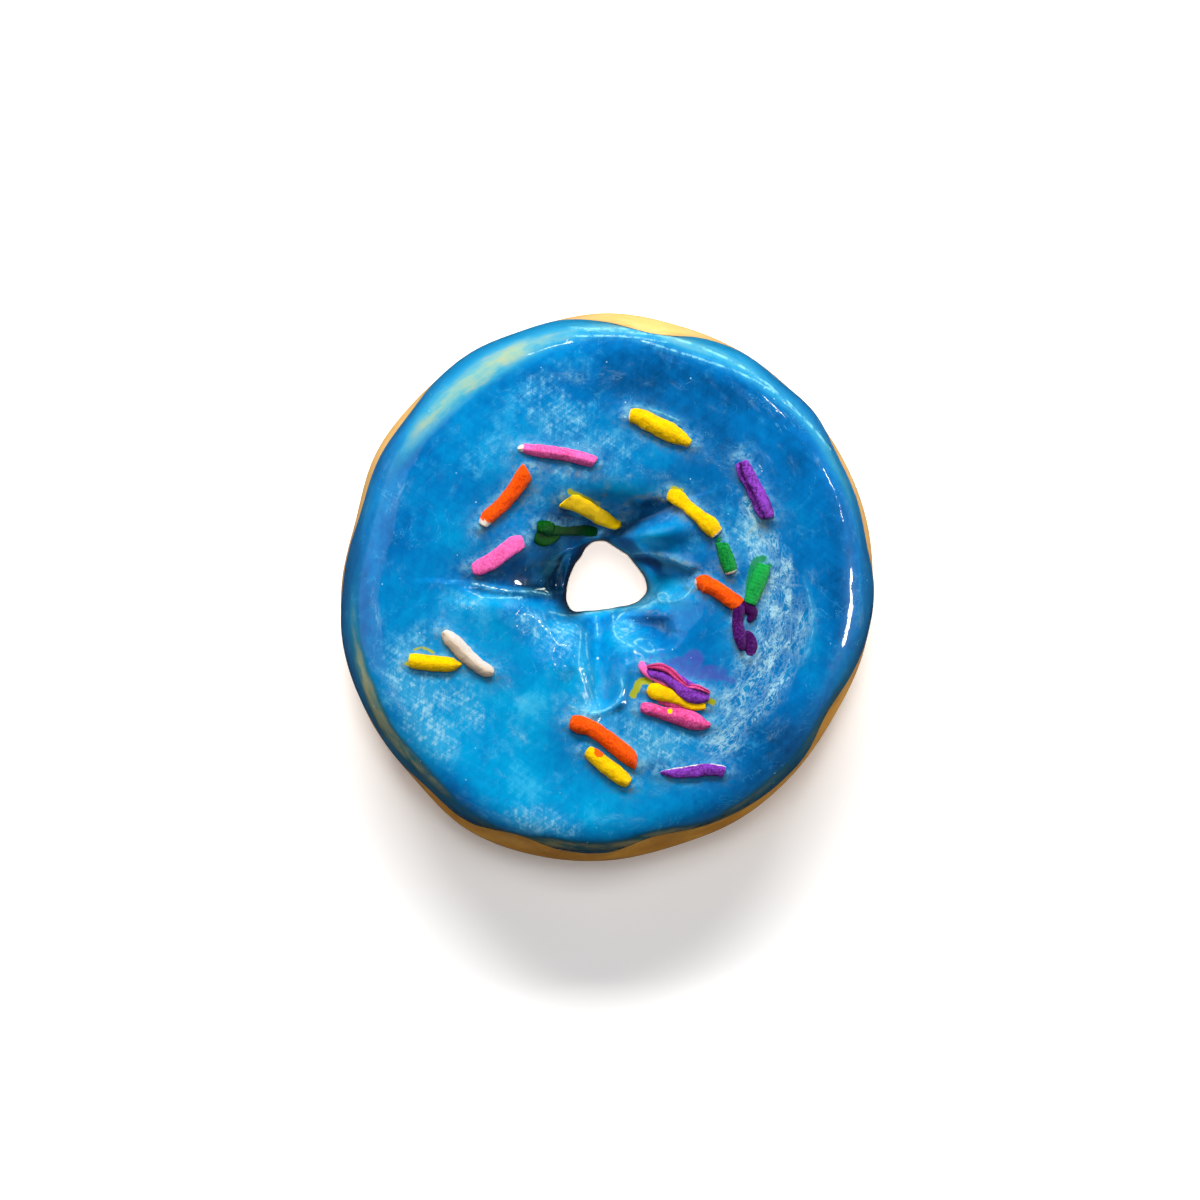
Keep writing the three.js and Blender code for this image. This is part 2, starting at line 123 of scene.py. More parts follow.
def closed_curve(values):
    """A smooth closed curve through evenly spaced values, as a function of the angle."""
    values = np.array(values, float)

    def curve(angle):
        place = np.mod(np.asarray(angle) / TURN, 1) * len(values)
        index = np.floor(place).astype(int)
        neighbours = (values[(index + step) % len(values)] for step in (-1, 0, 1, 2))
        return smooth_between(*neighbours, place - index)

    return curve


def lattice_hash(x, y, z, seed):
    """A repeatable random number from 0 to 1 for each lattice corner."""
    mixed = (x * 374761393 + y * 668265263 + z * 2147483647 + seed * 1274126177) & 0xFFFFFFFF
    mixed = ((mixed ^ (mixed >> 13)) * 1274126177) & 0xFFFFFFFF
    mixed = mixed ^ (mixed >> 16)
    return (mixed & 0xFFFFFF) / 0xFFFFFF


def noise(points, size, seed):
    """Smooth noise from -1 to 1 with features about as large as size."""
    place = np.asarray(points, float) / size
    corner = np.floor(place).astype(np.int64)
    t = smoothstep(place - corner, 0, 1)
    total = 0
    for step in product((0, 1), repeat=3):
        weight = np.prod(np.where(step, t, 1 - t), axis=-1)
        total = total + weight * lattice_hash(*np.moveaxis(corner + step, -1, 0), seed)
    return 2 * total - 1


def layered_noise(points, size, seed):
    """Noise with two finer and weaker layers on top of it."""
    return sum(noise(points, size / 2**layer, seed + layer) / 2**layer for layer in range(3))


def fading(distance, width):
    """1 where the distance is 0, less on both sides, like a bell."""
    return np.exp(-((distance / width) ** 2))


def segment_distance(x, y, start, end):
    """Distance to a line on the plan, the share along it, and the side (+1 left, -1 right)."""
    along = np.subtract(end, start).astype(float)
    offset_x, offset_y = x - start[0], y - start[1]
    share = np.clip((offset_x * along[0] + offset_y * along[1]) / along.dot(along), 0, 1)
    distance = np.hypot(offset_x - share * along[0], offset_y - share * along[1])
    side = np.where(along[0] * offset_y - along[1] * offset_x > 0, 1, -1)
    return distance, share, side


def path_distance(x, y, points):
    """Distance to a line of several points on the plan."""
    return np.min([segment_distance(x, y, a, b)[0] for a, b in zip(points, points[1:])], axis=0)


def rounded_path(points):
    """The same line with its corners cut, and cut again."""
    points = np.array(points, float)
    for _ in range(2):
        before, after = points[:-1], points[1:]
        cuts = np.stack([0.75 * before + 0.25 * after, 0.25 * before + 0.75 * after], axis=1)
        points = np.concatenate([points[:1], cuts.reshape(-1, 2), points[-1:]])
    return points


# ---------------- the ring's form

outline_radius = closed_curve(OUTLINE_RADII)
hole_radius = closed_curve(HOLE_RADII)
body_showing = closed_curve(BODY_SHOWING)


def around(angle, radius):
    return np.stack([np.cos(angle) * radius, np.sin(angle) * radius], axis=-1)


def outline_point(angle):
    return around(angle, outline_radius(angle))


def hole_point(angle):
    return around(angle, hole_radius(angle)) + HOLE_CENTRE


def ring_width(angle):
    return np.linalg.norm(outline_point(angle) - hole_point(angle), axis=-1)


def rounded_quarter(turn, squareness):
    """How far a squared-off quarter ellipse has gone inward and up, from 0 upright to 1 level."""
    power = 2 / squareness
    return 1 - np.maximum(np.cos(turn), 0) ** power, np.maximum(np.sin(turn), 0) ** power


def dent_depth(x, y):
    total = 0
    for start, end, depth, left, right in DENTS:
        distance, share, side = segment_distance(x, y, start, end)
        deep_here = depth[0] + (depth[1] - depth[0]) * share
        total = total + deep_here * fading(distance, np.where(side > 0, left, right))
    return total


def relief(x, y, from_outline, from_hole):
    """Dents and crown of the top, fading out towards the side and the hole's throat."""
    fade = smoothstep(from_outline, RELIEF_FROM_OUTLINE, SHOULDER_WIDTH)
    fade = fade * smoothstep(from_hole, 0, RELIEF_FROM_HOLE)
    middle = np.sin(math.pi * from_hole / (from_hole + from_outline))
    return fade * (CROWN * middle - dent_depth(x, y))


def lean_share(share):
    return (4 * share * (1 - share)) ** 2


def icing_edge(angle):
    """Turn of the icing's edge, and how far the side leans so that the body shows past it."""
    showing = np.maximum(0, body_showing(angle))
    height = ICING_EDGE_LOWEST + ICING_EDGE_LIFT * showing
    share = (height - EQUATOR_HEIGHT) / (TOP_HEIGHT - EQUATOR_HEIGHT)
    turn = np.arcsin(share ** (SHOULDER_SQUARENESS / 2))
    plain = SHOULDER_WIDTH * rounded_quarter(turn, SHOULDER_SQUARENESS)[0]
    return turn, (showing - plain) / lean_share(share)


def ring_point(angle, from_outline, height):
    share = (from_outline / ring_width(angle))[..., None]
    plan = outline_point(angle) * (1 - share) + hole_point(angle) * share
    return np.concatenate([plan, np.broadcast_to(height, share.shape[:-1])[..., None]], axis=-1)


def shoulder_point(angle, turn):
    inward, rise = rounded_quarter(turn, SHOULDER_SQUARENESS)
    from_outline = SHOULDER_WIDTH * inward + icing_edge(angle)[1] * lean_share(rise)
    return ring_point(angle, from_outline, EQUATOR_HEIGHT + (TOP_HEIGHT - EQUATOR_HEIGHT) * rise)


def level_point(angle, share):
    inner = ring_width(angle) - FUNNEL_WIDTH
    return ring_point(angle, SHOULDER_WIDTH + (inner - SHOULDER_WIDTH) * share, TOP_HEIGHT)


def funnel_point(angle, turn):
    inward, rise = rounded_quarter(turn, FUNNEL_SQUARENESS)
    height = THROAT_HEIGHT + (TOP_HEIGHT - THROAT_HEIGHT) * rise
    return ring_point(angle, ring_width(angle) - FUNNEL_WIDTH * inward, height)


def under_point(angle, turn):
    inward, rise = rounded_quarter(turn, UNDER_SQUARENESS)
    return ring_point(angle, UNDER_WIDTH * inward, EQUATOR_HEIGHT * (1 - rise))


def flare_point(angle, turn):
    inward, rise = rounded_quarter(turn, FLARE_SQUARENESS)
    return ring_point(angle, ring_width(angle) - FLARE_WIDTH * inward, THROAT_HEIGHT * (1 - rise))


SHOULDER_PART = 0.30  # shares of the way over the top, from the icing's edge to the throat
LEVEL_PART = 0.40


def plain_top(angle, share):
    """The undented top from the icing's edge (0) over the shoulder and level part to the throat (1)."""
    edge_turn = icing_edge(angle)[0]
    on_shoulder = np.clip(share / SHOULDER_PART, 0, 1)
    on_level = np.clip((share - SHOULDER_PART) / LEVEL_PART, 0, 1)
    in_funnel = np.clip((1 - share) / (1 - SHOULDER_PART - LEVEL_PART), 0, 1)
    shoulder = shoulder_point(angle, edge_turn + (QUARTER - edge_turn) * on_shoulder)
    level = level_point(angle, on_level)
    funnel = funnel_point(angle, in_funnel * QUARTER)
    pick = np.where(share <= SHOULDER_PART, 0, np.where(share <= SHOULDER_PART + LEVEL_PART, 1, 2))
    return np.choose(pick[..., None], [shoulder, level, funnel])


def reach(points, angle):
    """Distance in from the outline and out from the hole."""
    from_outline = np.linalg.norm(points[..., :2] - outline_point(angle), axis=-1)
    return from_outline, ring_width(angle) - from_outline


def dented_top(angle, share):
    points = plain_top(angle, share)
    points[..., 2] += relief(points[..., 0], points[..., 1], *reach(points, angle))
    return points


def outward_of_top(angle, share):
    nudge = 1e-3
    before, after = np.maximum(0, share - nudge), np.minimum(1, share + nudge)
    across = plain_top(angle, after) - plain_top(angle, before)
    round_ring = plain_top(angle + nudge, share) - plain_top(angle - nudge, share)
    outward = np.cross(round_ring, across)
    return outward / np.linalg.norm(outward, axis=-1, keepdims=True)


def below_top(angle, share, depth):
    """Points a depth under the dented top, square to it."""
    return dented_top(angle, share) - outward_of_top(angle, share) * np.asarray(depth)[..., None]


PLACE_PASSES = 10


def ring_place(x, y):
    """Distance from the outline and from the hole of places on the plan, found in several passes."""
    centre = np.zeros(np.shape(x) + (2,))
    for _ in range(PLACE_PASSES):
        offset = np.stack([x, y], axis=-1) - centre
        angle = np.arctan2(offset[..., 1], offset[..., 0])
        edge = hole_point(angle)
        from_hole = np.hypot(x - edge[..., 0], y - edge[..., 1])
        centre = HOLE_CENTRE * (1 - from_hole / ring_width(angle))[..., None]
    return ring_width(angle) - from_hole, from_hole


def top_height(x, y):
    """Height of the top at places on its level part or in its funnel."""
    from_outline, from_hole = ring_place(x, y)
    turn = np.arccos((1 - np.minimum(1, from_hole / FUNNEL_WIDTH)) ** (FUNNEL_SQUARENESS / 2))
    plain = THROAT_HEIGHT + (TOP_HEIGHT - THROAT_HEIGHT) * rounded_quarter(turn, FUNNEL_SQUARENESS)[1]
    return plain + relief(x, y, from_outline, from_hole)


# ---------------- sprinkles


def rod(colour, *stations, **looks):
    """A hand-rolled sprinkle: its colour, places along it with the width at each, and its looks.

    height is its height over its width, square how boxy its section is (1 is a diamond), roll how
    far that section is turned in degrees, lift how far it stands off the glaze, slant how far the
    cuts of its two ends lean. bare is how many millimetres of clay its two ends show, edge the side
    (1 left, -1 right) with a line of clay and its strength, worn the side with clay
    colour all over, which on the white sprinkle is also painted shade on its south half.
    lump and rings are the strength of its lumps and of the rings round it, groove the place round
    it and the depth of a groove along it, and shade makes its paint lighter or
    darker: its own tone, and painted light on sprinkles that lie in shadow.
    """
    plain = {
        "height": 0.8, "square": 2.3, "roll": 0, "lift": 0, "slant": (0, 0), "bare": (0, 0),
        "edge": (0, 0), "worn": 0, "lump": 1, "rings": 0, "groove": (0, 0), "shade": 0,
    }
    return SimpleNamespace(colour=colour, stations=np.array(stations, float), **(plain | looks))


SPRINKLES = [
    rod("yellow", (3.9, 31.1, 2.2), (6, 30.7, 3.2), (9, 29.2, 3.4), (11.6, 28, 3.3), (13.4, 26.9, 2.6),
        (15.1, 25.9, 1.5), bare=(0.2, 0), edge=(-1, 0.5), lump=1.3, square=1.7),
    rod("pink", (-16.3, 25, 0.6), (-15.2, 25.1, 1.6), (-12.5, 24.7, 2.3), (-8, 24.1, 2.4),
        (-4.5, 23.3, 2.4), (-2.1, 22.6, 2), bare=(1.1, 0), square=1.35, roll=6, slant=(0, 0.4), lump=0.5),
    rod("orange", (-22.6, 11, 1.5), (-21.6, 12.7, 2.6), (-19, 15, 2.7), (-16.9, 17.5, 2.9),
        (-15.3, 19.9, 3), (-14.4, 21.2, 2.8), bare=(1.2, 0), slant=(0, 0.5), square=2, lump=0.8),
    rod("green", (-11.5, 10.3, 2), (-8, 10.5, 2.4), (-5, 10.9, 3), (-3, 10.7, 2.8), (-1.6, 10.5, 2.1),
        height=0.55, lump=0.6, shade=-1.6),
    rod("green", (-12.8, 10.9, 1.8), (-11.6, 10.9, 2.5), (-9.5, 10.6, 2), height=0.7, lump=0.5, shade=-1.2),
    rod("green", (-13.2, 9.3, 2), (-11.7, 8.9, 3.2), (-10.1, 9.3, 2.7), (-8.8, 10, 1.6), height=0.5,
        lump=0.5, shade=-1.6),
    rod("yellow", (-7.8, 15.6, 2.4), (-5.8, 15.2, 2.9), (-3, 13.9, 3), (-0.6, 12.5, 2.9), (1.2, 11.6, 2),
        (2.6, 11.3, 1), lift=1.5, edge=(-1, 0.8), slant=(0.9, 0), square=2.6, height=0.6, roll=-4,
        lump=1.2, shade=1.6),
    rod("pink", (-24.6, 3.2, 1.9), (-22.9, 3.6, 2.9), (-20.5, 5, 3), (-18.3, 6.7, 3), (-16.6, 7.8, 3.1),
        (-15.1, 8.2, 2.1), height=0.45, square=3, edge=(1, 0.3)),
    rod("yellow", (10.9, 16.8, 1.9), (12.5, 16.3, 2.9), (14.5, 14.7, 2.3), (16.5, 12.9, 2.6),
        (18.5, 11.2, 3.2), (20.1, 9.5, 2.4), bare=(0, 0.3), edge=(1, 0.35), square=2.8),
    rod("green", (20.7, 8.1, 2.2), (21.2, 6.6, 2.5), (21.8, 4.8, 2.8), (22.3, 3.2, 2.5), (22.6, 2.3, 1.6),
        bare=(0, 0.55), slant=(0.35, 0), lump=0.6, shade=-0.1),
    rod("green", (20, 8.9, 0.8), (20.5, 8.3, 1), height=0.7, lump=0.3),
    rod("purple", (24.4, 22.8, 2.2), (25, 21.2, 3), (26.4, 18.3, 3.1), (28.1, 15, 3.3), (28.9, 13.2, 2.9),
        (29.1, 12.3, 2.2), edge=(-1, 0.45), groove=(2.2, 0.35), lump=1.5),
    rod("orange", (15.9, 0.5, 1.8), (17.6, 0.6, 3.3), (19.4, -0.3, 2.9), (21.5, -1.7, 2.9),
        (23.3, -2.8, 2.8), (24.3, -3.4, 2.2), bare=(0.35, 0), lump=1.5, square=1.7),
    rod("green", (28.5, 4.2, 2.3), (28, 2.7, 3), (27.3, 0.7, 3), (26.6, -1.2, 2.8), (25.9, -3.2, 2.3),
        rings=0.3, lump=0.9, shade=0.5),
    rod("purple", (23.8, -2.9, 2), (23.8, -4.6, 2.3), (23.7, -6.5, 2), (24, -8.7, 2.3),
        (24.3, -10.2, 1.8), (24.4, -11.6, 0.9), edge=(-1, 0.6), lift=0.3, lump=0.6, shade=-1),
    rod("purple", (24.4, -2.9, 1.4), (25.6, -3.8, 2.2), (26.4, -5, 1.9), (25.6, -6.4, 1), height=0.7,
        lump=0.8, shade=-1.8),
    rod("purple", (24.4, -8.2, 1.2), (25.4, -9.2, 2.7), (25.9, -11, 2.9), (25.8, -12.6, 1.2), height=0.28,
        lump=0.6, shade=-0.9),
    rod("yellow", (-36.1, -13.4, 2.3), (-34.8, -13.5, 2.8), (-31.5, -13.9, 2.9), (-28.3, -14.1, 2.6),
        (-27.2, -14.15, 1.5), (-26.3, -14.1, 0.5), lump=0.35, square=1.6, shade=0.1),
    # its clay-coloured south half is also painted shade
    rod("white", (-29.8, -8.1, 1.4), (-28.6, -9.4, 2.6), (-27, -10.9, 3), (-25.2, -12.8, 2.7),
        (-23, -14.6, 2.7), (-21.4, -15.3, 2.3), (-20.5, -15.6, 1.3), square=1.4, lump=0.9, worn=-1),
    rod("purple", (7, -14.9, 1.2), (8.5, -15.4, 2.6), (10.5, -16, 2.9), (12.6, -17.4, 3.1),
        (14.7, -19, 3.6), (16.8, -19.7, 3.2), (18.6, -19.9, 1.7), groove=(1.2, 0.3), lump=0.8),
    rod("pink", (7.2, -14.5, 0.7), (9, -14.4, 1.3), (11.2, -15.1, 1.5), (13, -16.7, 1.2),
        (14.6, -17.9, 0.9), (16.5, -18.2, 0.7), (18.7, -19.2, 0.5), height=0.8, lift=1.25,
        groove=(1.4, 0.25), lump=1.3, shade=-0.7),
    rod("pink", (6.2, -13.5, 0.9), (6.5, -14.7, 1.5), (7.6, -16, 1.2), (9.5, -17, 1.1), (12, -18.3, 0.7),
        height=0.7, lift=0.4, lump=0.6, shade=0.6),
    rod("yellow", (7.3, -18.3, 1.7), (8.8, -19, 2.9), (11, -19.6, 2.6), (13, -20.5, 1.9),
        (15.5, -21.7, 1.6), (17.9, -21.7, 1.2), lump=0.8),
    rod("pink", (6, -22, 1.6), (7.5, -22.1, 2.3), (10, -22.9, 2.3), (12.5, -23.4, 3), (15, -24.1, 3.3),
        (17, -24.8, 2.5), (18.8, -25.1, 0.8), square=1.5, lump=1.1, shade=-0.5),
    rod("pink", (9.2, -20.9, 0.6), (12, -21.4, 1.2), (15, -22, 0.6), height=0.9, lump=0.5, shade=-0.8),
    rod("orange", (-6.8, -24.5, 2.2), (-5.2, -24.9, 3.3), (-2.9, -25.7, 3), (-0.4, -27.3, 3),
        (2.2, -29.4, 3.1), (4.2, -31, 3), (5.4, -32.2, 1.7), slant=(0, -0.8), edge=(1, 0.4), square=1.8,
        lump=0.6),
    rod("yellow", (-3.8, -29.7, 1.8), (-2.7, -30.4, 2.6), (-0.6, -32.1, 2.9), (1.3, -33.6, 3),
        (3, -35, 2.8), (4, -35.8, 1.8), edge=(-1, 0.3), lump=0.9, square=1.8),
    rod("purple", (9.6, -33.7, 0.5), (11.2, -33.8, 1.4), (13.5, -33.7, 2.1), (16.5, -33.3, 2.4),
        (19, -33.2, 2.3), (21.4, -33.6, 2.3), edge=(1, 0.8), square=1.5, roll=-22, slant=(0, 0.2),
        shade=-0.1),
]
# Drops of another sprinkle's paint: which sprinkles they are on, the place, radius and colour.
SPOTS = {
    "yellow": ((-1.4, -29.9), 1, (0.84, 0.10, 0.002)),
    "pink": ((11.4, -22.5), 0.45, (0.80, 0.46, 0)),
}

SPRINKLE_SIDES = 44
SPRINKLE_RINGS = 80
SPRINKLE_POINTS = SPRINKLE_SIDES * SPRINKLE_RINGS
SPRINKLE_SUNK = 0.22  # the share of its height that is sunk in the glaze
EVEN_HEIGHT = 0.35  # the share of its height that doesn't follow the width at each place
LEAST_WIDTH = 0.3
END_ROUNDING = 0.35
END_FULLNESS = 2.4
END_EVENNESS = 1.4  # the higher, the sooner the lumps of the skin fade in from an end
SLANT_REACH = 1.5

LUMP = 0.13
LUMP_SIZE = 2.2
GRIT = 0.055
GRIT_SIZE = 0.55
BRUSH = 0.03
BRUSH_SIZE = 0.16
BRUSH_ROUND = 1.2  # brush strokes are short round the sprinkle and long along it
BRUSH_ALONG = 0.25
RING_HEIGHT = 0.07
RING_PITCH = 9
GROOVE_WIDTH = 0.32
GROOVE_WANDER = 0.3
EDGE_LEVEL = 0.05  # where a line of clay runs, and its width, as shares of half the height
EDGE_WIDTH = 0.4
EDGE_BARE = 0.8  # how bare such a line is, and how much that varies along it
EDGE_VARIES = 0.5
SIDE_BARE = 1.2  # how bare the middle of a sprinkle with a clay side is, and how much that changes across it; on the white sprinkle this also paints shade on its south half
SIDE_BARE_ACROSS = 2.5
PAINT_ENDS = 0.5  # paint gives way to clay where a sprinkle is this bare
FULLY_RAISED = 3 * LUMP  # where its skin stands up this much, its paint is lightest: painted light on its lumps, painted shade between them


def along_stations(stations, shares):
    """A smooth line through the stations: place, width, and the whole length."""
    steps = np.hypot(*np.diff(stations[:, :2], axis=0).T)
    marks = np.concatenate([[0], np.cumsum(steps)])
    places = shares * marks[-1]
    first = 2 * stations[0] - stations[1]
    last = 2 * stations[-1] - stations[-2]
    padded = np.concatenate([[first], stations, [last]])
    index = np.clip(np.searchsorted(marks, places, side="right") - 1, 0, len(steps) - 1)
    t = ((places - marks[index]) / steps[index])[:, None]
    line = smooth_between(*(padded[index + step] for step in range(4)), t)
    return line[:, :2], np.maximum(LEAST_WIDTH, line[:, 2]), marks[-1]


def section(turns, square, roll):
    """A boxy or diamond section, turned by roll degrees: how far sideways and up, from -1 to 1."""
    flat, tall = (np.sign(part) * np.abs(part) ** (2 / square) for part in (np.cos(turns), np.sin(turns)))
    cos, sin = math.cos(math.radians(roll)), math.sin(math.radians(roll))
    return flat * cos - tall * sin, flat * sin + tall * cos


def skin_relief(spec, seed, points, plan, from_start, turns):
    """Lumps, brush strokes, grit, rings and a groove of a sprinkle's skin, outward."""
    raised = LUMP * spec.lump * layered_noise(points + seed * 17, LUMP_SIZE, seed)
    strokes = np.broadcast_arrays(turns * BRUSH_ROUND, from_start[:, None] * BRUSH_ALONG, float(seed))
    raised = raised + BRUSH * noise(np.stack(strokes, axis=-1), BRUSH_SIZE, seed + 5)
    raised = raised + GRIT * noise(points, GRIT_SIZE, seed + 6)
    middle = plan[:, [0, 1, 1]]
    rings = np.sin(from_start * RING_PITCH + noise(middle, 1.5, seed))[:, None]
    groove_at, groove_depth = spec.groove
    wander = GROOVE_WANDER * noise(middle, 2.5, seed + 9)[:, None]
    groove = groove_depth * fading(turns - groove_at + wander, GROOVE_WIDTH)
    return raised + RING_HEIGHT * spec.rings * rings - groove


def bare_clay(spec, seed, points, from_ends, across, rise):
    """How bare a sprinkle is: at its ends, in a line along one side, and on a clay side, which on the white
    sprinkle is also painted shade.
    """
    bare = np.zeros(points.shape[:2])
    for from_end, length in zip(from_ends, spec.bare):
        if length:
            bare = np.maximum(bare, (1 + PAINT_ENDS - from_end / length)[:, None])
    side, strength = spec.edge
    line = fading(rise - EDGE_LEVEL, EDGE_WIDTH) * (across * side > 0) * strength
    bare = np.maximum(bare, line * (EDGE_BARE + EDGE_VARIES * noise(points, 2, seed + 3)))
    # clay colour on one side; on the white sprinkle it is also painted shade
    if spec.worn:
        bare = np.maximum(bare, SIDE_BARE + SIDE_BARE_ACROSS * spec.worn * across)
    return bare


def sprinkle_skin(spec, seed):
    """One sprinkle as rings of points, with how bare and how raised it is at each."""
    shares = (1 - np.cos(np.linspace(0, math.pi, SPRINKLE_RINGS))) / 2
    plan, width, length = along_stations(spec.stations, shares)
    from_ends = (shares * length, (1 - shares) * length)
    direction = np.gradient(plan, axis=0)
    direction = direction / np.linalg.norm(direction, axis=1, keepdims=True)
    sideways = np.stack([-direction[:, 1], direction[:, 0]], axis=1)
    height = spec.height * (EVEN_HEIGHT * width.mean() + (1 - EVEN_HEIGHT) * width)
    resting = np.polyval(np.polyfit(shares, top_height(*plan.T), 2), shares)
    middle = resting + spec.lift + (0.5 - SPRINKLE_SUNK) * height
    closing = np.ones(SPRINKLE_RINGS)
    for from_end in from_ends:
        closing *= np.sqrt(1 - (1 - np.clip(from_end / END_ROUNDING, 0, 1)) ** END_FULLNESS)
    turns = np.linspace(0, TURN, SPRINKLE_SIDES, endpoint=False)
    across, rise = section(turns, spec.square, spec.roll)
    aside = across * (width * closing)[:, None] / 2
    points = np.empty((SPRINKLE_RINGS, SPRINKLE_SIDES, 3))
    points[..., :2] = plan[:, None] + sideways[:, None] * aside[..., None]
    for from_end, slant in zip(from_ends, spec.slant):
        lean = slant * np.exp(-from_end / SLANT_REACH)[:, None]
        points[..., :2] += direction[:, None] * (lean * aside)[..., None]
    points[..., 2] = middle[:, None] + rise * (height * closing)[:, None] / 2
    outward = points - np.column_stack([plan, middle])[:, None]
    outward = outward / (np.linalg.norm(outward, axis=-1, keepdims=True) + 1e-6)
    raised = skin_relief(spec, seed, points, plan, from_ends[0], turns)
    points += outward * (raised * np.minimum(1, closing * END_EVENNESS)[:, None])[..., None]
    bare = bare_clay(spec, seed, points, from_ends, across, rise)
    # the paint's lightness: painted light and shade on the lumps, the sprinkle's own tone, and painted light
    # on sprinkles in shadow
    return points, bare, raised / FULLY_RAISED + spec.shade


# ---------------- meshes


def ring_faces(rows, columns, closed):
    """Quads over a grid of points whose columns wrap round, and whose rows do where closed."""
    i, j = np.meshgrid(np.arange(rows if closed else rows - 1), np.arange(columns), indexing="ij")
    i, j = i.ravel(), j.ravel()
    i2, j2 = (i + 1) % rows, (j + 1) % columns
    return np.stack([i * columns + j, i2 * columns + j, i2 * columns + j2, i * columns + j2], axis=1)


def make_object(name, points, faces, marks):
    """A smooth mesh, with marks that its material reads at each point."""
    mesh = bpy.data.meshes.new(name)
    mesh.from_pydata((points.reshape(-1, 3) * MM).tolist(), [], faces)
    for key, values in marks.items():
        attribute = mesh.attributes.new(key, "FLOAT", "POINT")
        attribute.data.foreach_set("value", np.asarray(values, np.float32).ravel())
    mesh.validate()
    mesh.shade_smooth()
    piece = bpy.data.objects.new(name, mesh)
    bpy.context.scene.collection.objects.link(piece)
    return piece


def with_ends(values):
    """What a sprinkle has at each point of its rings, then in the middle of its first and last."""
    return np.concatenate([values.reshape(-1, *values.shape[2:]), values[[0, -1]].mean(axis=1)])


def sprinkle_faces():
    """The faces of one sprinkle: its skin, and a fan at each end."""
    faces = ring_faces(SPRINKLE_RINGS, SPRINKLE_SIDES, False)[:, ::-1].tolist()
    last_ring = SPRINKLE_POINTS - SPRINKLE_SIDES
    for side in range(SPRINKLE_SIDES):
        after = (side + 1) % SPRINKLE_SIDES
        faces.append([SPRINKLE_POINTS, side, after])
        faces.append([SPRINKLE_POINTS + 1, last_ring + after, last_ring + side])
    return faces


def sprinkle_piece(colour):
    """All sprinkles of one colour, each a closed skin."""
    skins = [sprinkle_skin(spec, seed) for seed, spec in enumerate(SPRINKLES) if spec.colour == colour]
    points, bare, raised = (np.concatenate([with_ends(part) for part in parts]) for parts in zip(*skins))
    offsets = [number * (SPRINKLE_POINTS + 2) for number in range(len(skins))]
    faces = [[corner + offset for corner in face] for offset in offsets for face in sprinkle_faces()]
    marks = {"bare": bare, "raised": raised}
    if colour in SPOTS:
        centre, radius, _ = SPOTS[colour]
        marks["spot_gap"] = np.minimum(FAR, np.linalg.norm(points[:, :2] - centre, axis=1) - radius)
    return make_object("sprinkles_" + colour, points, faces, marks)


# ---------------- glaze coat and body

ROUND = 480
TOP_ROWS = 190
BURIED_ROWS = 12
BASE_ROWS = 24
SIDE_ROWS = 30
WALL_ROWS = 16
FLOOR_ROWS = 10

LIP = 0.28  # how far the rounded edge of the glaze stands proud
LIP_WIDTH = 0.9
LIP_FADES = 3
LIP_TUCK = 0.12
MENISCUS = 0.22  # how far the glaze climbs at a sprinkle's foot
MENISCUS_WIDTH = 0.45
HAND_WAVE = 0.10
WAVE_STARTS = 4
RIPPLE = 0.02
WRINKLE_HEIGHT = 0.10
WRINKLE_WIDTH = 0.4
SEAM = 0.1  # between the glaze's underside and the body here

angles = np.linspace(0, TURN, ROUND, endpoint=False)[:, None]


def sprinkle_gap(x, y):
    """Distance on the plan to the side of the nearest sprinkle."""
    nearest = np.inf
    for spec in SPRINKLES:
        stations = spec.stations
        nearest = np.minimum(nearest, path_distance(x, y, stations[:, :2]) - stations[:, 2].mean() / 2)
    return nearest


def surface_relief(top, run, gap):
    """How far the glaze stands proud, run millimetres in from its edge and gap from a sprinkle."""
    to_edge = 1 - np.clip(run / LIP_WIDTH, 0, 1)
    lip = LIP * np.sqrt(1 - to_edge**2) * np.exp(-run / LIP_FADES) - LIP_TUCK * to_edge
    meniscus = MENISCUS * np.exp(-np.maximum(gap, 0) / MENISCUS_WIDTH)
    to_wrinkle = np.maximum(0, line_gap(top[..., 0], top[..., 1], WRINKLES))
    flat = top * (1, 1, 0.4)
    wave = HAND_WAVE * layered_noise(flat, 9, 11) + RIPPLE * noise(flat, 1.1, 40)
    wave = wave * smoothstep(run, 0, WAVE_STARTS)
    return lip + meniscus + WRINKLE_HEIGHT * fading(to_wrinkle, WRINKLE_WIDTH) + wave


def glaze_coat():
    """The blue glaze: its top from the edge to the throat, and its buried underside back again."""
    shares = np.linspace(0, 1, TOP_ROWS)
    top = dented_top(angles, shares)
    steps = np.linalg.norm(np.diff(top, axis=1), axis=-1)
    run = np.concatenate([np.zeros((ROUND, 1)), np.cumsum(steps, axis=1)], axis=1)
    gap = sprinkle_gap(top[..., 0], top[..., 1])
    upper = top + outward_of_top(angles, shares) * surface_relief(top, run, gap)[..., None]
    back = np.linspace(1, 0, BURIED_ROWS)
    thickness = ICING_THICKNESS * smoothstep(np.minimum(back, 1 - back), -0.05, 0.1)
    points = np.concatenate([upper, below_top(angles, back, thickness)], axis=1)

    def whole(values):
        """Values over the top, and over the buried side what its nearer edge has."""
        values = np.broadcast_to(values, (ROUND, TOP_ROWS))
        inner, outer = (np.repeat(values[:, [edge]], BURIED_ROWS // 2, axis=1) for edge in (-1, 0))
        return np.concatenate([values, inner, outer], axis=1)

    reaches = reach(plain_top(angles, shares), angles)
    marks = {key: whole(values) for key, values in glaze_marks(top, *reaches, gap, run).items()}
    faces = ring_faces(ROUND, TOP_ROWS + BURIED_ROWS, True).tolist()
    return make_object("glaze_coat", points, faces, marks)


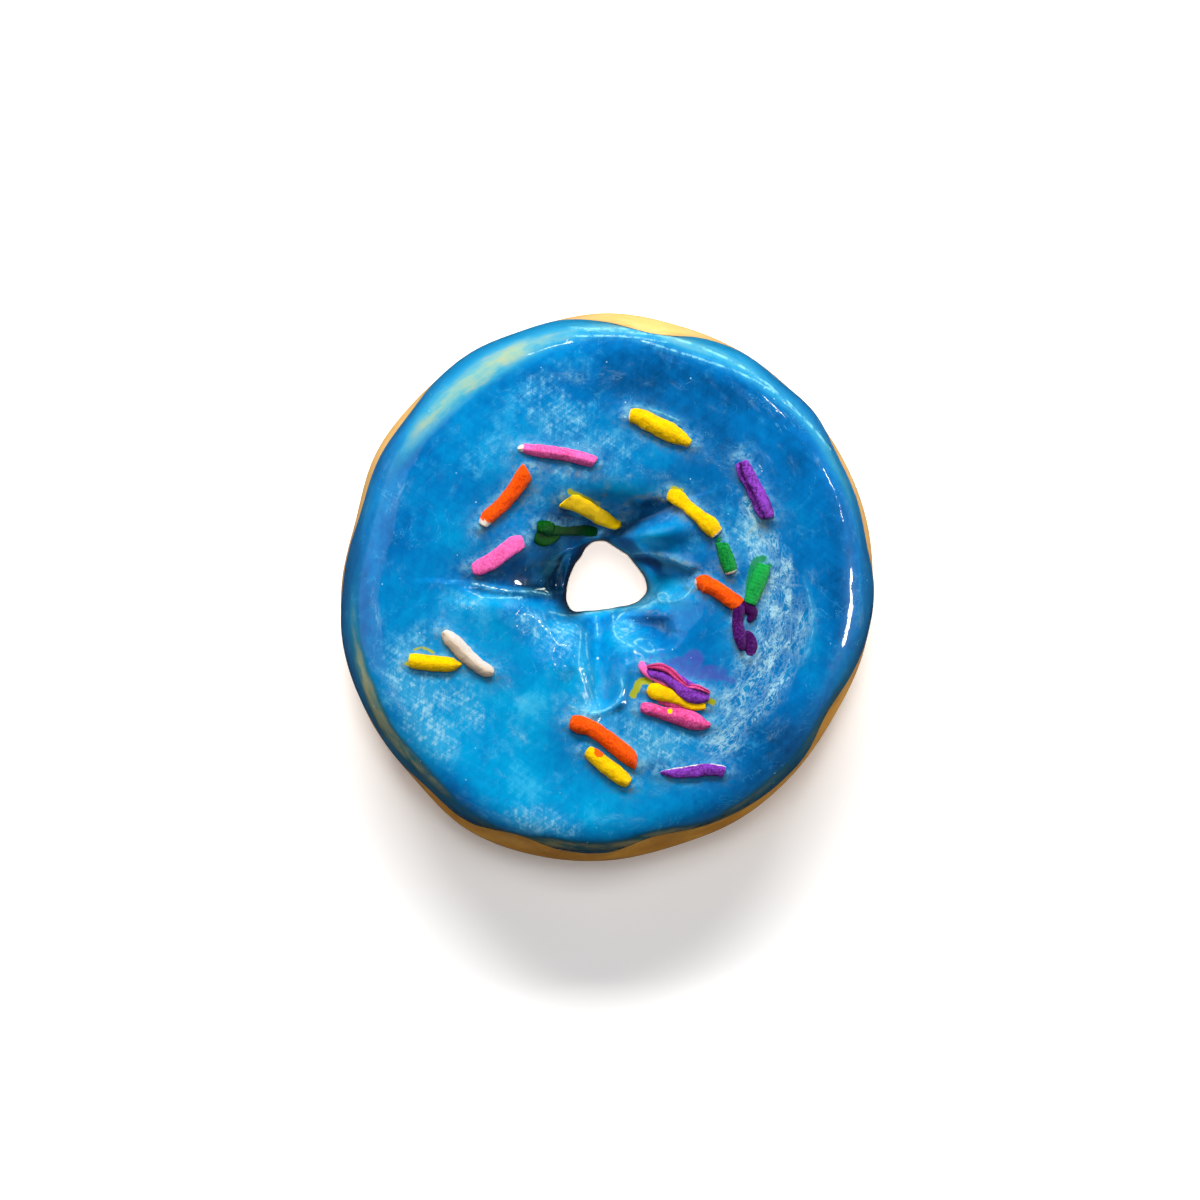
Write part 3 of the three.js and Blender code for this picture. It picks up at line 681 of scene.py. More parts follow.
def body():
    """The tan ring: base, side, a step under the glaze, the hole's wall and the flat underside."""
    base = under_point(angles, np.linspace(QUARTER, 0, BASE_ROWS))
    side = shoulder_point(angles, np.linspace(0, 1, SIDE_ROWS)[1:] * icing_edge(angles)[0])
    over = dented_top(angles, np.linspace(0.004, 0.02, 4))
    buried = below_top(angles, np.linspace(0.03, 0.985, BURIED_ROWS), ICING_THICKNESS + SEAM)
    wall = flare_point(angles, np.linspace(0, QUARTER, WALL_ROWS))
    inner, outer = wall[:, -1:], base[:, :1]
    floor = inner + (outer - inner) * np.linspace(0, 1, FLOOR_ROWS)[1:-1, None]
    points = np.concatenate([base, side, over, buried, wall, floor], axis=1)
    return make_object("tan_body", points, ring_faces(*points.shape[:2], True).tolist(), {})


# ---------------- marks in the glaze

# How strongly the shoulder shows clay through thin glaze, every 10 degrees, then how far in from
# the outline that line runs and how wide it is, every 30 degrees.
BREAK_STRENGTH = [
    0.10, 0.15, 0.30, 0.35, 0.25, 0.30, 0.40, 0.50, 0.60, 0.50, 0.50, 0.75,
    1.00, 0.95, 0.60, 0.25, 0.10, 0.10, 0.20, 0.50, 0.95, 1.00, 0.95, 0.55,
    0.30, 0.90, 0.80, 0.55, 1.00, 0.70, 0.50, 0.40, 0.35, 0.45, 0.25, 0.10,
]
BREAK_INSET = [2.4, 2.6, 3.4, 3.4, 4.6, 5.2, 3.4, 2.8, 3.3, 3.4, 2.6, 2.4]
BREAK_WIDTH = [1.2, 1.4, 1.8, 1.9, 2.2, 1.8, 1.2, 1.1, 1.1, 1.1, 1.2, 1.2]
# The slope outside that line, every 30 degrees: painted light where above 0, painted shade where below, as
# the slope faces towards the light or away from it.
SLOPE_PAINTED_LIGHT = [-0.4, 0.1, 0.9, 1.0, 1.0, 0.2, -0.4, -0.5, -0.8, -0.6, -0.6, -0.5]

# Patches: centre x and y, half length, half width, direction in degrees, strength.
WHITE_CLOUDS = [
    (-8, 31, 7, 6, 0, 0.9), (-13, 37, 7, 3, 25, 0.6), (-23, 24, 6, 4, 30, 0.5), (1, 25, 6, 3.5, -20, 0.6),
    (-7, 20.5, 8, 2, -10, 0.7), (-13, 16, 3, 4, 20, 0.6), (-25.5, -2.5, 5, 3.5, -30, 0.7),
    (-32, -9, 5, 4, 0, 0.5), (-28, -21, 11, 6, -35, 0.9), (-37.5, -17, 4, 7, 15, 0.8),
    (-32.5, -27, 7, 3.5, -45, 0.8), (-13, -7.5, 6.5, 3, -35, 1), (-6.5, -8.5, 3, 3, 0, 0.7),
    (-8, -16.5, 2.5, 6, 0, 0.5), (-12, -42.5, 9, 3, -12, 1), (-5, -22.5, 4, 2.5, 0, 0.9),
    (5, -26, 6, 5, -20, 0.6), (13, -29, 8, 3.5, 0, 0.8), (6, -35, 3, 3, 0, 0.6),
    (8.5, -2.6, 5, 1.6, 8, 1.1), (3, -8.5, 2.5, 3, 0, 1), (16, 8, 3, 4, -50, 0.6),
    (25.5, 9.5, 3.5, 5, 20, 0.9), (24, 25.5, 3, 2, 0, 0.5),
]
# Darker places: glaze pooled thick in hollows, and painted shade on slopes and walls that face away from the
# light.
POOLS_AND_PAINTED_SHADE = [
    (-17, 2.6, 8, 2.8, 3, 0.8), (-12, -0.8, 5, 1.4, -14, 0.8), (-9.6, 3, 2.2, 6, 0, 0.9),
    (-14.5, -4.4, 7, 1.2, -14, 0.5), (4, 13.2, 5, 2, 25, 0.35), (9, 15, 3, 1.6, 20, 0.6),
    (10.6, 12.6, 4, 1.3, 30, 0.45), (11, 3.4, 4.5, 1.2, -16, 0.45), (8.6, -6.4, 3.6, 2, -38, 0.35),
    (-8.5, 12.6, 4, 1.6, 10, 0.6), (18, 33, 15, 8, -35, 0.29), (0, 38, 12, 3.5, -3, 0.26),
    (42, 0, 3.4, 14, 0, 0.36), (37, 20, 12, 2.6, -60, 0.22), (21, 36.1, 12, 2.6, -30, 0.25),
    (5, 41.6, 9, 2.4, -4, 0.2), (-35.4, 26.2, 7, 2.6, 50, 0.25), (-45, -2.4, 2.4, 9, 0, 0.3),
    (-8.5, -11.5, 3.5, 3.5, 0, 0.25), (-14, -2.2, 3, 1, 0, 0.3), (33, -29, 8, 9, 45, 0.45),
    (-26, -38.5, 7, 2.5, -42, 0.5), (-38, 12, 3, 8, -10, 0.2), (10, -32.5, 5, 1.5, 0, 0.5),
]
# Lighter places: thinner glaze, and painted light on slopes and hollows that lie in shade.
LIGHT_GLAZE_AND_PAINTED_LIGHT = [
    (-18, -22, 24, 17, 0, 0.55), (-12, -38, 18, 6, -10, 0.45), (-30, -28, 6, 14, 40, 0.35),
    (38, -10, 4, 9, 0, 0.3), (-30, 6, 14, 16, 0, 0.28), (-18, 26, 16, 8, 20, 0.2), (8, 24, 9, 5, 0, 0.22),
    (3, -38, 16, 6, 8, 0.3), (-3.6, -15, 3, 8, 8, 0.35), (2.5, 17.6, 6.5, 1.7, -5, 0.7),
    (-13, -21, 5, 7, 0, 0.3), (7.6, 8.8, 5, 1.7, 36, 0.9), (12, 7.8, 4, 2, -10, 0.3),
    (12, 1.6, 4, 2, -10, 0.8), (6, 15.8, 3, 1, 20, 0.6), (12, 13, 3, 3, 0, 0.4),
    (-18, -3, 9, 1.5, -6, 0.8), (-9, -6.5, 5, 1.6, -15, 0.4), (9, -3, 6, 1.6, 5, 0.8),
    (3, -9.5, 3.5, 2.5, -15, 0.8), (10.6, -0.5, 4, 1.4, 0, 0.6),
]
# Worn, greyish brown places, and greyish brown painted shadow just south of some sprinkles.
SCUFFS_AND_SHADOWS = [
    (-0.4, 17.3, 1.5, 0.5, 60, 0.9), (3.4, 15, 1.6, 0.6, 35, 0.9), (6.6, 16.4, 2, 0.5, 10, 0.9),
    (9.6, 15.9, 1.5, 0.5, -30, 0.9), (3.6, 13.8, 1.4, 0.9, 30, 0.5), (13, 13.4, 2.6, 0.9, -45, 0.5),
    (11.6, 5.1, 4.5, 0.6, -16, 1.1), (-8.6, 15.4, 1.2, 1.4, 0, 0.6), (-8.6, 2, 0.5, 4, 10, 0.4),
    (-11.5, 4.4, 2, 0.5, 0, 0.4), (20.5, 4, 2, 1.2, 40, 0.6), (8.5, -4.6, 3.5, 0.5, -4, 0.6),
    (10.5, -7.5, 1.6, 0.8, -45, 0.5), (27, 10, 2.2, 1.4, 0, 0.7), (-8, 21, 7, 0.8, -10, 0.6),
    (-14, 16.5, 1.2, 4, -30, 0.5), (8, 27, 5, 0.8, -25, 0.5),
]
# Lacy white film over the right side: the middle of its crescent, and its half width there.
FILM_SPINE = [
    ((25.5, 15), 2), ((27.5, 9.5), 4), ((30, 3), 5), ((31.5, -4), 6),
    ((31, -10.5), 6.8), ((28, -17), 6.6), ((23.5, -22.5), 5.6), ((20.5, -28), 5),
]

# Lines: half width and points. First the paint dragged over the glaze, by colour.
SMEARS = {
    "olive": [
        (0.6, [(7.6, -17), (6.3, -17), (5.6, -17.7), (5.1, -18.9), (4.7, -19.6)]),
        (0.5, [(18.3, -20.6), (19.2, -21)]), (0.4, [(-6.8, 17.3), (-4.5, 16.3), (-1.7, 15)]),
        (0.45, [(12, 17.8), (13.3, 17.5)]),
        (0.12, [(-35.1, -11.4), (-34, -11), (-32.7, -11.3), (-31.6, -12)]),
        (0.25, [(-36.5, -14), (-36.2, -14.1)]),
    ],
    "green": [
        (0.5, [(25.6, -1), (25.9, 1.5), (26.4, 3.8), (27.3, 5), (28.4, 5.1)]),
        (0.35, [(29.2, 3.8), (29.6, 3.8)]),
    ],
    "purple": [
        (1.6, [(11.5, -14.6), (14.2, -14.2), (15.8, -13)]),
        (1.2, [(13.5, -15.4), (17.5, -15.6), (20.5, -15.6)]), (0.5, [(19.5, -16.2), (22.8, -17)]),
        (0.12, [(7, -15.2), (7.1, -14.2), (7.6, -13.3), (8.2, -12.6)]),
        (0.15, [(9.8, -12.3), (10.1, -12.3)]),
    ],
}
# Pale wrinkles of thin glaze, each raised a little; on some, as along the pocket's lip, the pale colour is
# also a painted highlight.
WRINKLES = [
    (0.13, [(-4.8, -8.2), (-5, -11.2), (-5.2, -14), (-4.7, -16.2), (-3.8, -19), (-2.9, -21.5)]),
    (0.13, [(-3.9, -8.5), (-3.8, -11.2), (-3.4, -14.4), (-2.6, -17.2), (-2, -19.9), (-1.4, -22)]),
    (0.13, [(-4.4, -14), (-3.9, -15.8), (-3.3, -18.1), (-2.5, -20.8)]),
    (0.12, [(-5.4, -18.1), (-4.7, -19.5), (-3.8, -20.8)]),
    (0.14, [(-7, -21.5), (-4.7, -22.4), (-2, -22.9), (0.8, -22), (2.4, -20.1), (2.9, -18.5), (2.5, -16.5)]),
    (0.11, [(-2, -5.5), (-1.7, -8.9)]),
    (0.15, [(1, -4.1), (1.2, -6.6), (1.3, -8.9), (3.1, -10.3), (4.9, -11)]),
    (0.14, [(4.9, -10.1), (6.3, -9.4), (7.7, -10.1), (8.6, -11.2), (8.4, -11.9), (6.8, -11.7), (4.9, -10.1)]),
    (0.16, [(-10.9, -4.6), (-7.4, -5.5), (-2.9, -4.9), (0.8, -4.3), (3.5, -4.1), (7.2, -3.6), (8.6, -2.7)]),
    (0.14, [(9.3, -1.4), (10.4, -0.9), (11.3, -1.6), (11.1, -2.7), (9.7, -2.7), (9.3, -1.4)]),
    (0.14, [(1.5, -6.6), (2.6, -5), (4.9, -4.1), (7.2, -3.7)]),
    (0.12, [(11.3, -2.7), (13.2, -2.5), (15, -1.1), (15.9, 0.3)]),
    (0.14, [(-24.5, 0.6), (-23, 0.3), (-20.7, -0.3), (-18, -0.8), (-13.4, -0.8), (-10.9, -1.4)]),
    (0.12, [(-21.9, -2), (-18.4, -2), (-15.3, -1.9)]),
    (0.13, [(4.8, 6.2), (6.6, 6.3), (8.6, 6.2), (10.3, 5.7), (12, 5.1), (13.8, 4.2), (15.5, 3.3)]),
    (0.12, [(5, 33), (9, 32), (13, 30.2)]),
    (0.18, [(-6.5, 47.3), (-3, 46.8), (1.5, 47.1), (6.5, 46.3)]),
    (0.14, [(-7, 45.6), (-3, 45.6), (3.5, 45.6), (11, 44.4)]),
    (0.2, [(0.5, 46.6), (13.4, 45.4), (26.2, 39.6), (35.4, 31.4), (40.8, 25.1)]),
    (0.16, [(6, 44.8), (18.5, 41), (25.5, 38.4), (31, 35.2), (35.5, 31)]),
    (0.05, [(35.9, 1.8), (37.6, -5.9), (37.2, -9.7), (35.6, -13.9)]),
]
# Painted highlights: white glints along lips and in small dots.
PAINTED_GLINTS = [
    (0.02, [(-24.5, 0.7), (-23, 0.4), (-20.7, -0.2), (-18, -0.7)]),
    (0.02, [(-13.4, -0.6), (-12.2, -0.3), (-10.9, -1)]), (0.11, [(-12.2, -0.4), (-11.6, -0.3)]),
    (0.04, [(-16.5, -5), (-15.5, -3.7)]), (0.02, [(-4.9, -14.4), (-4.8, -15.6), (-4.2, -17.6)]),
    (0.03, [(-5.1, -14.9), (-5, -15.3)]), (0.09, [(-16.4, -7.2), (-16.3, -7.1)]),
    (0.09, [(-15.1, -5), (-14.9, -5)]), (0.07, [(-15.2, -8.2), (-15.2, -8.5)]),
    (0.09, [(-12.4, -6.2), (-12.3, -6.5)]), (0.07, [(-11, -9.9), (-10.9, -9.9)]),
    (0.07, [(-9.6, -11), (-9.7, -11.7)]), (0.05, [(-9.9, -12.9), (-9.9, -13.1)]),
    (0.09, [(-9.5, -14), (-9.4, -14.1)]), (0.05, [(-9.7, -15), (-9.7, -15.1)]),
    (0.05, [(-10.1, -16.1), (-10.1, -16.2)]), (0.07, [(-7.9, -14.2), (-7.6, -14.4)]),
    (0.05, [(7.4, -5.7), (7.5, -5.7)]), (0.02, [(27.4, 22.7), (27.9, 21.8), (28.2, 20.8)]),
    (0.07, [(26.6, 23.6), (26.7, 23.6)]), (0.04, [(20.7, 24.3), (20.8, 24.3)]),
    (0.04, [(30.5, 32.2), (31, 31.9)]), (0.03, [(11, 19.2), (11.1, 19.2)]),
    (0.03, [(12.9, 19), (13, 18.9)]), (0.05, [(8.4, 12.9), (8.5, 12.9)]),
]
# Painted shadow in the creases between the folds.
CREASE_SHADOWS = [
    (0.7, [(-0.5, 9.2), (1.6, 10), (4.1, 11.1), (6.6, 12.4), (9.1, 13.9), (10.8, 14.9)]),
    (0.35, [(5.3, 5.2), (9.1, 4.7), (12.5, 3.7), (14.8, 2.8)]),
    (0.3, [(4.6, 15), (6.4, 14.6), (7.8, 15.4), (9.4, 15.6)]),
    (0.25, [(-24, -0.2), (-20.7, -0.9), (-18, -1.4), (-13, -1.5)]),
]
LINES = {"wrinkle": WRINKLES, "painted_glint": PAINTED_GLINTS, "crease_shadow": CREASE_SHADOWS, **SMEARS}

LINE_WANDER = 0.5
RING_AND_SHADOW_WIDTH = 0.9
EDGE_FADES = 1.1
THROAT_LIGHT_FADES = 0.6
ROUND_RADIUS = 40  # turns an angle into millimetres along the ring


def patches(x, y, listed):
    total = 0
    for centre_x, centre_y, length, width, direction, strength in listed:
        cos, sin = math.cos(math.radians(direction)), math.sin(math.radians(direction))
        along = (x - centre_x) * cos + (y - centre_y) * sin
        across = (y - centre_y) * cos - (x - centre_x) * sin
        total = total + strength * fading(along, length) * fading(across, width)
    return total


def line_gap(x, y, lines):
    """Distance to the side of the nearest of several lines, each with its half width."""
    return np.min([path_distance(x, y, rounded_path(line)) - half for half, line in lines], axis=0)


def film_cover(x, y):
    """How far inside the film a place is: 1 in its middle, 0 at its edge."""
    cover = 0
    for (start, start_width), (end, end_width) in zip(FILM_SPINE, FILM_SPINE[1:]):
        distance, share, _ = segment_distance(x, y, start, end)
        cover = np.maximum(cover, 1 - distance / (start_width + (end_width - start_width) * share))
    return cover


def glaze_marks(top, from_outline, from_hole, gap, run):
    """What the glaze's colours follow: strengths from 0 to about 1, or distances in millimetres."""
    x, y = top[..., 0], top[..., 1]
    wander = LINE_WANDER * noise(np.stack([x, y, 0 * x], axis=-1), 9, 3)
    off_line = from_outline - closed_curve(BREAK_INSET)(angles) - wander
    strength = np.clip(closed_curve(BREAK_STRENGTH)(angles), 0, 1)
    slope = 1 - smoothstep(off_line, -1.2, 0.8)
    painted_tone = closed_curve(SLOPE_PAINTED_LIGHT)(angles)
    round_hole = np.degrees(np.arctan2(y - HOLE_CENTRE[1], x - HOLE_CENTRE[0])) % 360
    left_wall = smoothstep(round_hole, 95, 130) * (1 - smoothstep(round_hole, 225, 245))
    # painted light round the hole's rim, where the steep throat lies in shade; not on its left wall
    painted_throat_light = 2 * (1 - left_wall) * np.exp(-from_hole / THROAT_LIGHT_FADES)
    gaps = {name + "_gap": np.minimum(FAR, line_gap(x, y, lines)) for name, lines in LINES.items()}
    return {
        "thin": strength * fading(off_line, closed_curve(BREAK_WIDTH)(angles)),
        # painted light and painted shade on the shoulder's slope
        "slope_painted_light": slope * np.maximum(0, painted_tone),
        "slope_painted_shade": slope * np.maximum(0, -painted_tone),
        "edge": np.exp(-run / EDGE_FADES),
        "cloud": patches(x, y, WHITE_CLOUDS),
        "pool_and_painted_shade": patches(x, y, POOLS_AND_PAINTED_SHADE),
        "light_glaze_and_painted_light": patches(x, y, LIGHT_GLAZE_AND_PAINTED_LIGHT) + painted_throat_light,
        "scuff_and_shadow": patches(x, y, SCUFFS_AND_SHADOWS),
        "film": film_cover(x, y),
        "ring_and_shadow": np.exp(-np.maximum(gap, 0) / RING_AND_SHADOW_WIDTH),
        # the side of a sprinkle where its painted shadow falls
        "painted_shadow_side": sprinkle_gap(x, y + 1) < gap,
        # painted shade on the hole's steep left wall, over glaze pooled dark there
        "wall": left_wall * (1 - smoothstep(from_hole, 0.2, 3.2)),
        "round_mm": angles * ROUND_RADIUS,
        "radius_mm": np.hypot(x, y),
        **gaps,
    }


# ---------------- materials


class Node:
    """A shader node that is yet to be made, and what feeds it: other nodes, numbers or colours."""

    def __init__(self, kind, inputs, output=0, **settings):
        self.kind = kind
        self.inputs = inputs
        self.output = output
        self.settings = settings

    def __add__(self, other):
        return compute("ADD", self, other)

    def __sub__(self, other):
        return compute("SUBTRACT", self, other)

    def __mul__(self, other):
        return compute("MULTIPLY", self, other)

    def make(self, tree, made):
        """Its output in a tree of nodes, where made keeps those that are there already."""
        if self not in made:
            made[self] = tree.nodes.new("ShaderNode" + self.kind)
            for key, value in self.settings.items():
                setattr(made[self], key, value)
            for key, value in self.inputs.items():
                socket = made[self].inputs[key]
                if isinstance(value, Node):
                    tree.links.new(value.make(tree, made), socket)
                else:
                    socket.default_value = (*value, 1) if socket.type == "RGBA" else value
        return made[self].outputs[self.output]


class Ramp(Node):
    """A colour that runs through several stops as a value goes from 0 to 1."""

    def __init__(self, value, stops):
        super().__init__("ValToRGB", {0: value})
        self.stops = stops

    def make(self, tree, made):
        output = super().make(tree, made)
        elements = output.node.color_ramp.elements
        while len(elements) < len(self.stops):
            elements.new(0.5)
        for element, (position, colour) in zip(elements, self.stops):
            element.position = position
            element.color = (*colour, 1)
        return output


def material(name, looks):
    """A material whose surface is as looks says."""
    made = bpy.data.materials.new(name)
    made.use_nodes = True
    tree = made.node_tree
    tree.nodes.clear()
    output = tree.nodes.new("ShaderNodeOutputMaterial")
    tree.links.new(Node("BsdfPrincipled", looks).make(tree, {}), output.inputs[0])
    return made


def compute(operation, a, b=0, clamp=False):
    return Node("Math", {0: a, 1: b}, operation=operation, use_clamp=clamp)


def times(share, *others):
    """Shares multiplied, each product kept from 0 to 1."""
    for other in others:
        share = compute("MULTIPLY", share, other, True)
    return share


def span(value, low, high, to_low=0, to_high=1):
    """A value's way from low to high, smoothed, as a number from to_low to to_high."""
    inputs = {"Value": value, "From Min": low, "From Max": high, "To Min": to_low, "To Max": to_high}
    return Node("MapRange", inputs, interpolation_type="SMOOTHSTEP")


def mix(amount, a, b):
    return Node("Mix", {0: amount, 6: a, 7: b}, 2, data_type="RGBA")


def lay(colour, over, *shares):
    """One colour over another, as strong as the shares multiplied."""
    return mix(times(*shares), colour, over)


def bump(height, distance, strength):
    return Node("Bump", {"Height": height, "Distance": distance * MM, "Strength": strength})


def mark(name):
    return Node("Attribute", {}, "Fac", attribute_name=name)


def mapped(kind, **inputs):
    """Position in the object, mapped in one of Blender's ways."""
    return Node("Mapping", {"Vector": Node("TexCoord", {}, "Object"), **inputs}, vector_type=kind)


def millimetres(stretch=(1, 1, 1)):
    """Position in the object, in millimetres."""
    return mapped("POINT", Scale=[value / MM for value in stretch])


def brushed(direction, length):
    """Position drawn out along a direction in degrees, for brush strokes."""
    return mapped("TEXTURE", Rotation=(0, 0, math.radians(direction)), Scale=(length * MM, MM, MM))


def along_ring(stretch):
    """Position along the ring and across it, drawn out along the ring."""
    return Node("CombineXYZ", {0: mark("round_mm") * stretch, 1: mark("radius_mm")})


def speckle(size, place=None, detail=4, roughness=0.55, distortion=0):
    """Noise from 0 to 1 with features about as large as size."""
    looks = {"Detail": detail, "Roughness": roughness, "Distortion": distortion}
    return Node("TexNoise", {"Vector": place or millimetres(), "Scale": 1 / size, **looks}, "Fac")


def wobble(amount, size, *place, **settings):
    """Noise round 0, up to half the amount each way."""
    return (speckle(size, *place, **settings) - 0.5) * amount


def fibres(size):
    """Crossing brush strokes, from about 0.3 to 0.7."""
    first, second, third = (speckle(size, brushed(way, 5), 8, 0.7, 0.3) for way in (38, -34, 85))
    return (first + second + third) * (1 / 3)


def threads(size, place, width):
    """Fine threads where smooth noise crosses its middle."""
    return span(compute("ABSOLUTE", speckle(size, place, 6, 0.6, 0.6) - 0.5), width / 2, 0)


def painted_front_shade():
    """Painted shade: how much darker the colours are towards the front, which faces away from the light."""
    towards_front = Node("SeparateXYZ", {0: millimetres()}, 1)
    return span(towards_front + wobble(40, 18, detail=3), 35, -45)


def blue_depth():
    """The glaze's colour: dark where it pooled and where shade is painted, light where it is thin and where
    light is painted, with brush marks.
    """
    slow = span(speckle(13), 0.3, 0.7) * 0.20
    brush = span(fibres(1.4), 0.38, 0.62) * 0.16
    return Ramp(slow + brush + 0.31 + mark("light_glaze_and_painted_light") * 0.42 + mark("pool_and_painted_shade") * -0.62, [
        (0, (0, 0.020, 0.060)), (0.22, (0, 0.066, 0.215)), (0.45, (0, 0.122, 0.365)),
        (0.62, (0, 0.188, 0.460)), (0.82, (0, 0.275, 0.560)), (1, (0.040, 0.420, 0.680)),
    ])


def clouded(colour):
    """Milky white in the glaze, brushed out thin."""
    cloud = mark("cloud")
    fibre = fibres(0.8)
    wisp = speckle(4.2, detail=8, roughness=0.66) * 0.6 + fibre * 0.4
    shown = span(wisp + (cloud - 0.6) * 0.20, 0.42, 0.62)
    colour = lay(colour, (0.04, 0.33, 0.58), shown, span(fibre, 0.34, 0.62, 0.35, 0.85))
    return lay(colour, (0.32, 0.58, 0.70), shown, span(fibre, 0.48, 0.62), span(cloud, 0.15, 0.9), 0.85)


def filmed(colour):
    """A white film dried to lace, drawn out along the ring."""
    place = along_ring(0.42)
    lace = compute("MAXIMUM", threads(2.2, place, 0.11), threads(0.9, place, 0.15) * 0.75)
    veil = span(speckle(2.4, place, 8, 0.7, 0.5), 0.40, 0.66)
    cover = span(mark("film") + wobble(1, 4, place, 6), 0.02, 0.5)
    colour = lay(colour, (0.04, 0.35, 0.54), veil, 0.32, cover)
    return lay(colour, (0.38, 0.62, 0.70), lace, span(veil, 0, 1, 0.22, 0.95), cover)


def rings_shadows_and_scuffs(colour):
    """Pale rings of glaze round the sprinkles with painted shadow on their south sides, and grey brown places
    where it is rubbed or where shadow is painted.
    """
    fine = speckle(1.3, detail=10, roughness=0.72, distortion=0.3)
    # pale glaze ring on the north side of a sprinkle, painted shadow on its south side
    tint = mix(mark("painted_shadow_side"), (0.17, 0.40, 0.52), (0.10, 0.17, 0.19))
    colour = lay(colour, tint, mark("ring_and_shadow"), span(fine, 0.38, 0.62), 0.75)
    return lay(colour, (0.20, 0.24, 0.22), mark("scuff_and_shadow"), span(fine, 0.40, 0.60), 0.8)


def rimmed(colour):
    """The shoulder: painted light and shade on its slope, and clay colour showing through where the glaze
    broke thin.
    """
    # painted light on the slope that faces the light, painted shade on the slope that faces away
    colour = lay(colour, (0, 0.20, 0.43), mark("slope_painted_light"), 0.8)
    colour = lay(colour, (0.002, 0.052, 0.088), mark("slope_painted_shade"), 0.85)
    fibre = speckle(1.3, along_ring(0.20), 9, 0.70, 0.3)
    uneven = fibre * 0.5 + speckle(5, detail=6) * 0.5
    thin = times(mark("thin"), span(uneven, 0.28, 0.60, 0.5, 1))
    # front_shade darkens the glaze under the break, the break's clay colour and the edge line towards the
    # front: painted shade
    front_shade = painted_front_shade()
    cream = mix(span(uneven, 0.38, 0.66), (0.08, 0.33, 0.40), (0.27, 0.37, 0.24))
    cream = lay(cream, (0.42, 0.36, 0.17), span(fibre, 0.54, 0.72), 0.5)
    olive = mix(span(fibre, 0.36, 0.66), (0.015, 0.11, 0.11), (0.32, 0.26, 0.10))
    under = mix(front_shade, (0.015, 0.24, 0.42), (0, 0.070, 0.115))
    colour = lay(colour, under, span(thin, 0.02, 0.40))
    colour = lay(colour, mix(front_shade, cream, olive), span(thin, 0.22, 0.80))
    deep = mix(front_shade, (0.01, 0.13, 0.20), (0.012, 0.065, 0.085))
    return lay(colour, deep, mark("edge"), span(front_shade, 0.2, 0.9, 0.3, 0.95))


def wrinkles_shadows_and_glints(colour):
    """Painted shadow in creases, pale raised wrinkles, partly painted highlight, hairlines, small bubbles and
    painted white glints.
    """
    # painted shadow along the creases
    crease_shadow = mark("crease_shadow_gap") + wobble(1.6, 2.2, detail=6, roughness=0.65)
    colour = lay(colour, (0, 0.030, 0.085), span(crease_shadow, 0.9, -0.5), 0.8)
    ragged = span(speckle(1.6, detail=8, roughness=0.7), 0.40, 0.60)
    wrinkle = mark("wrinkle_gap")
    # pale thin glaze on the wrinkles, on some also a painted highlight
    colour = lay(colour, (0.06, 0.40, 0.62), span(wrinkle, 1, -0.1), span(ragged, 0, 1, 0.3, 1), 0.30)
    colour = lay(colour, (0.22, 0.56, 0.66), span(wrinkle, 0.12, -0.08), ragged, 0.7)
    hairline = times(threads(9, millimetres(), 0.010), span(speckle(7, detail=2), 0.46, 0.56))
    colour = lay(colour, (0.10, 0.42, 0.62), hairline, 0.34)
    cells = {"Vector": millimetres(), "Scale": 1 / 1.7}
    chosen = span(Node("SeparateColor", {0: Node("TexVoronoi", cells, "Color")}), 0.86, 0.90)
    bubble = span(Node("TexVoronoi", cells, "Distance"), 0.11, 0.06)
    colour = lay(colour, (0.34, 0.62, 0.74), bubble, chosen, 0.7)
    # painted highlights
    painted_glint = span(mark("painted_glint_gap") + wobble(0.3, 0.7), 0.10, 0)
    return lay(colour, (0.80, 0.86, 0.72), painted_glint, 0.85)


def painted_over(colour):
    """Paint dragged off the sprinkles."""
    ragged = wobble(0.9, 0.8, detail=6, roughness=0.65)
    patchy = span(speckle(2.2, detail=8, roughness=0.7), 0.36, 0.56, 0.35, 0.9)
    purple = span(mark("purple_gap") + ragged * 2.2, 0.45, -0.35)
    colour = lay(colour, (0.070, 0.045, 0.34), purple, patchy, 0.60)
    colour = lay(colour, (0.33, 0.36, 0), span(mark("olive_gap") + ragged, 0.22, -0.05), 0.95)
    return lay(colour, (0.005, 0.19, 0.05), span(mark("green_gap") + ragged, 0.22, -0.05), 0.9)


def blue_glaze():
    colour = blue_depth()
    for layer in (clouded, filmed, rings_shadows_and_scuffs, rimmed, wrinkles_shadows_and_glints):
        colour = layer(colour)
    # painted shade on the hole's steep left wall, over glaze pooled dark there
    colour = lay(colour, (0, 0.02, 0.055), mark("wall"), 0.85)
    ridge = span(mark("wrinkle_gap"), 0.35, -0.05)
    ripple = speckle(6, detail=2) + speckle(1.1, detail=3) * 0.10 + ridge * 0.4
    return material("blue_glaze", {
        "Base Color": painted_over(colour),
        "Roughness": 0.35,
        "Specular IOR Level": 0.1,
        "Normal": bump(speckle(1.5, detail=10, roughness=0.7), 0.04, 0.6),
        "Coat Weight": 1,
        "Coat Roughness": 0.035,
        "Coat IOR": 1.52,
        "Coat Normal": bump(ripple, 0.30, 0.6),
    })


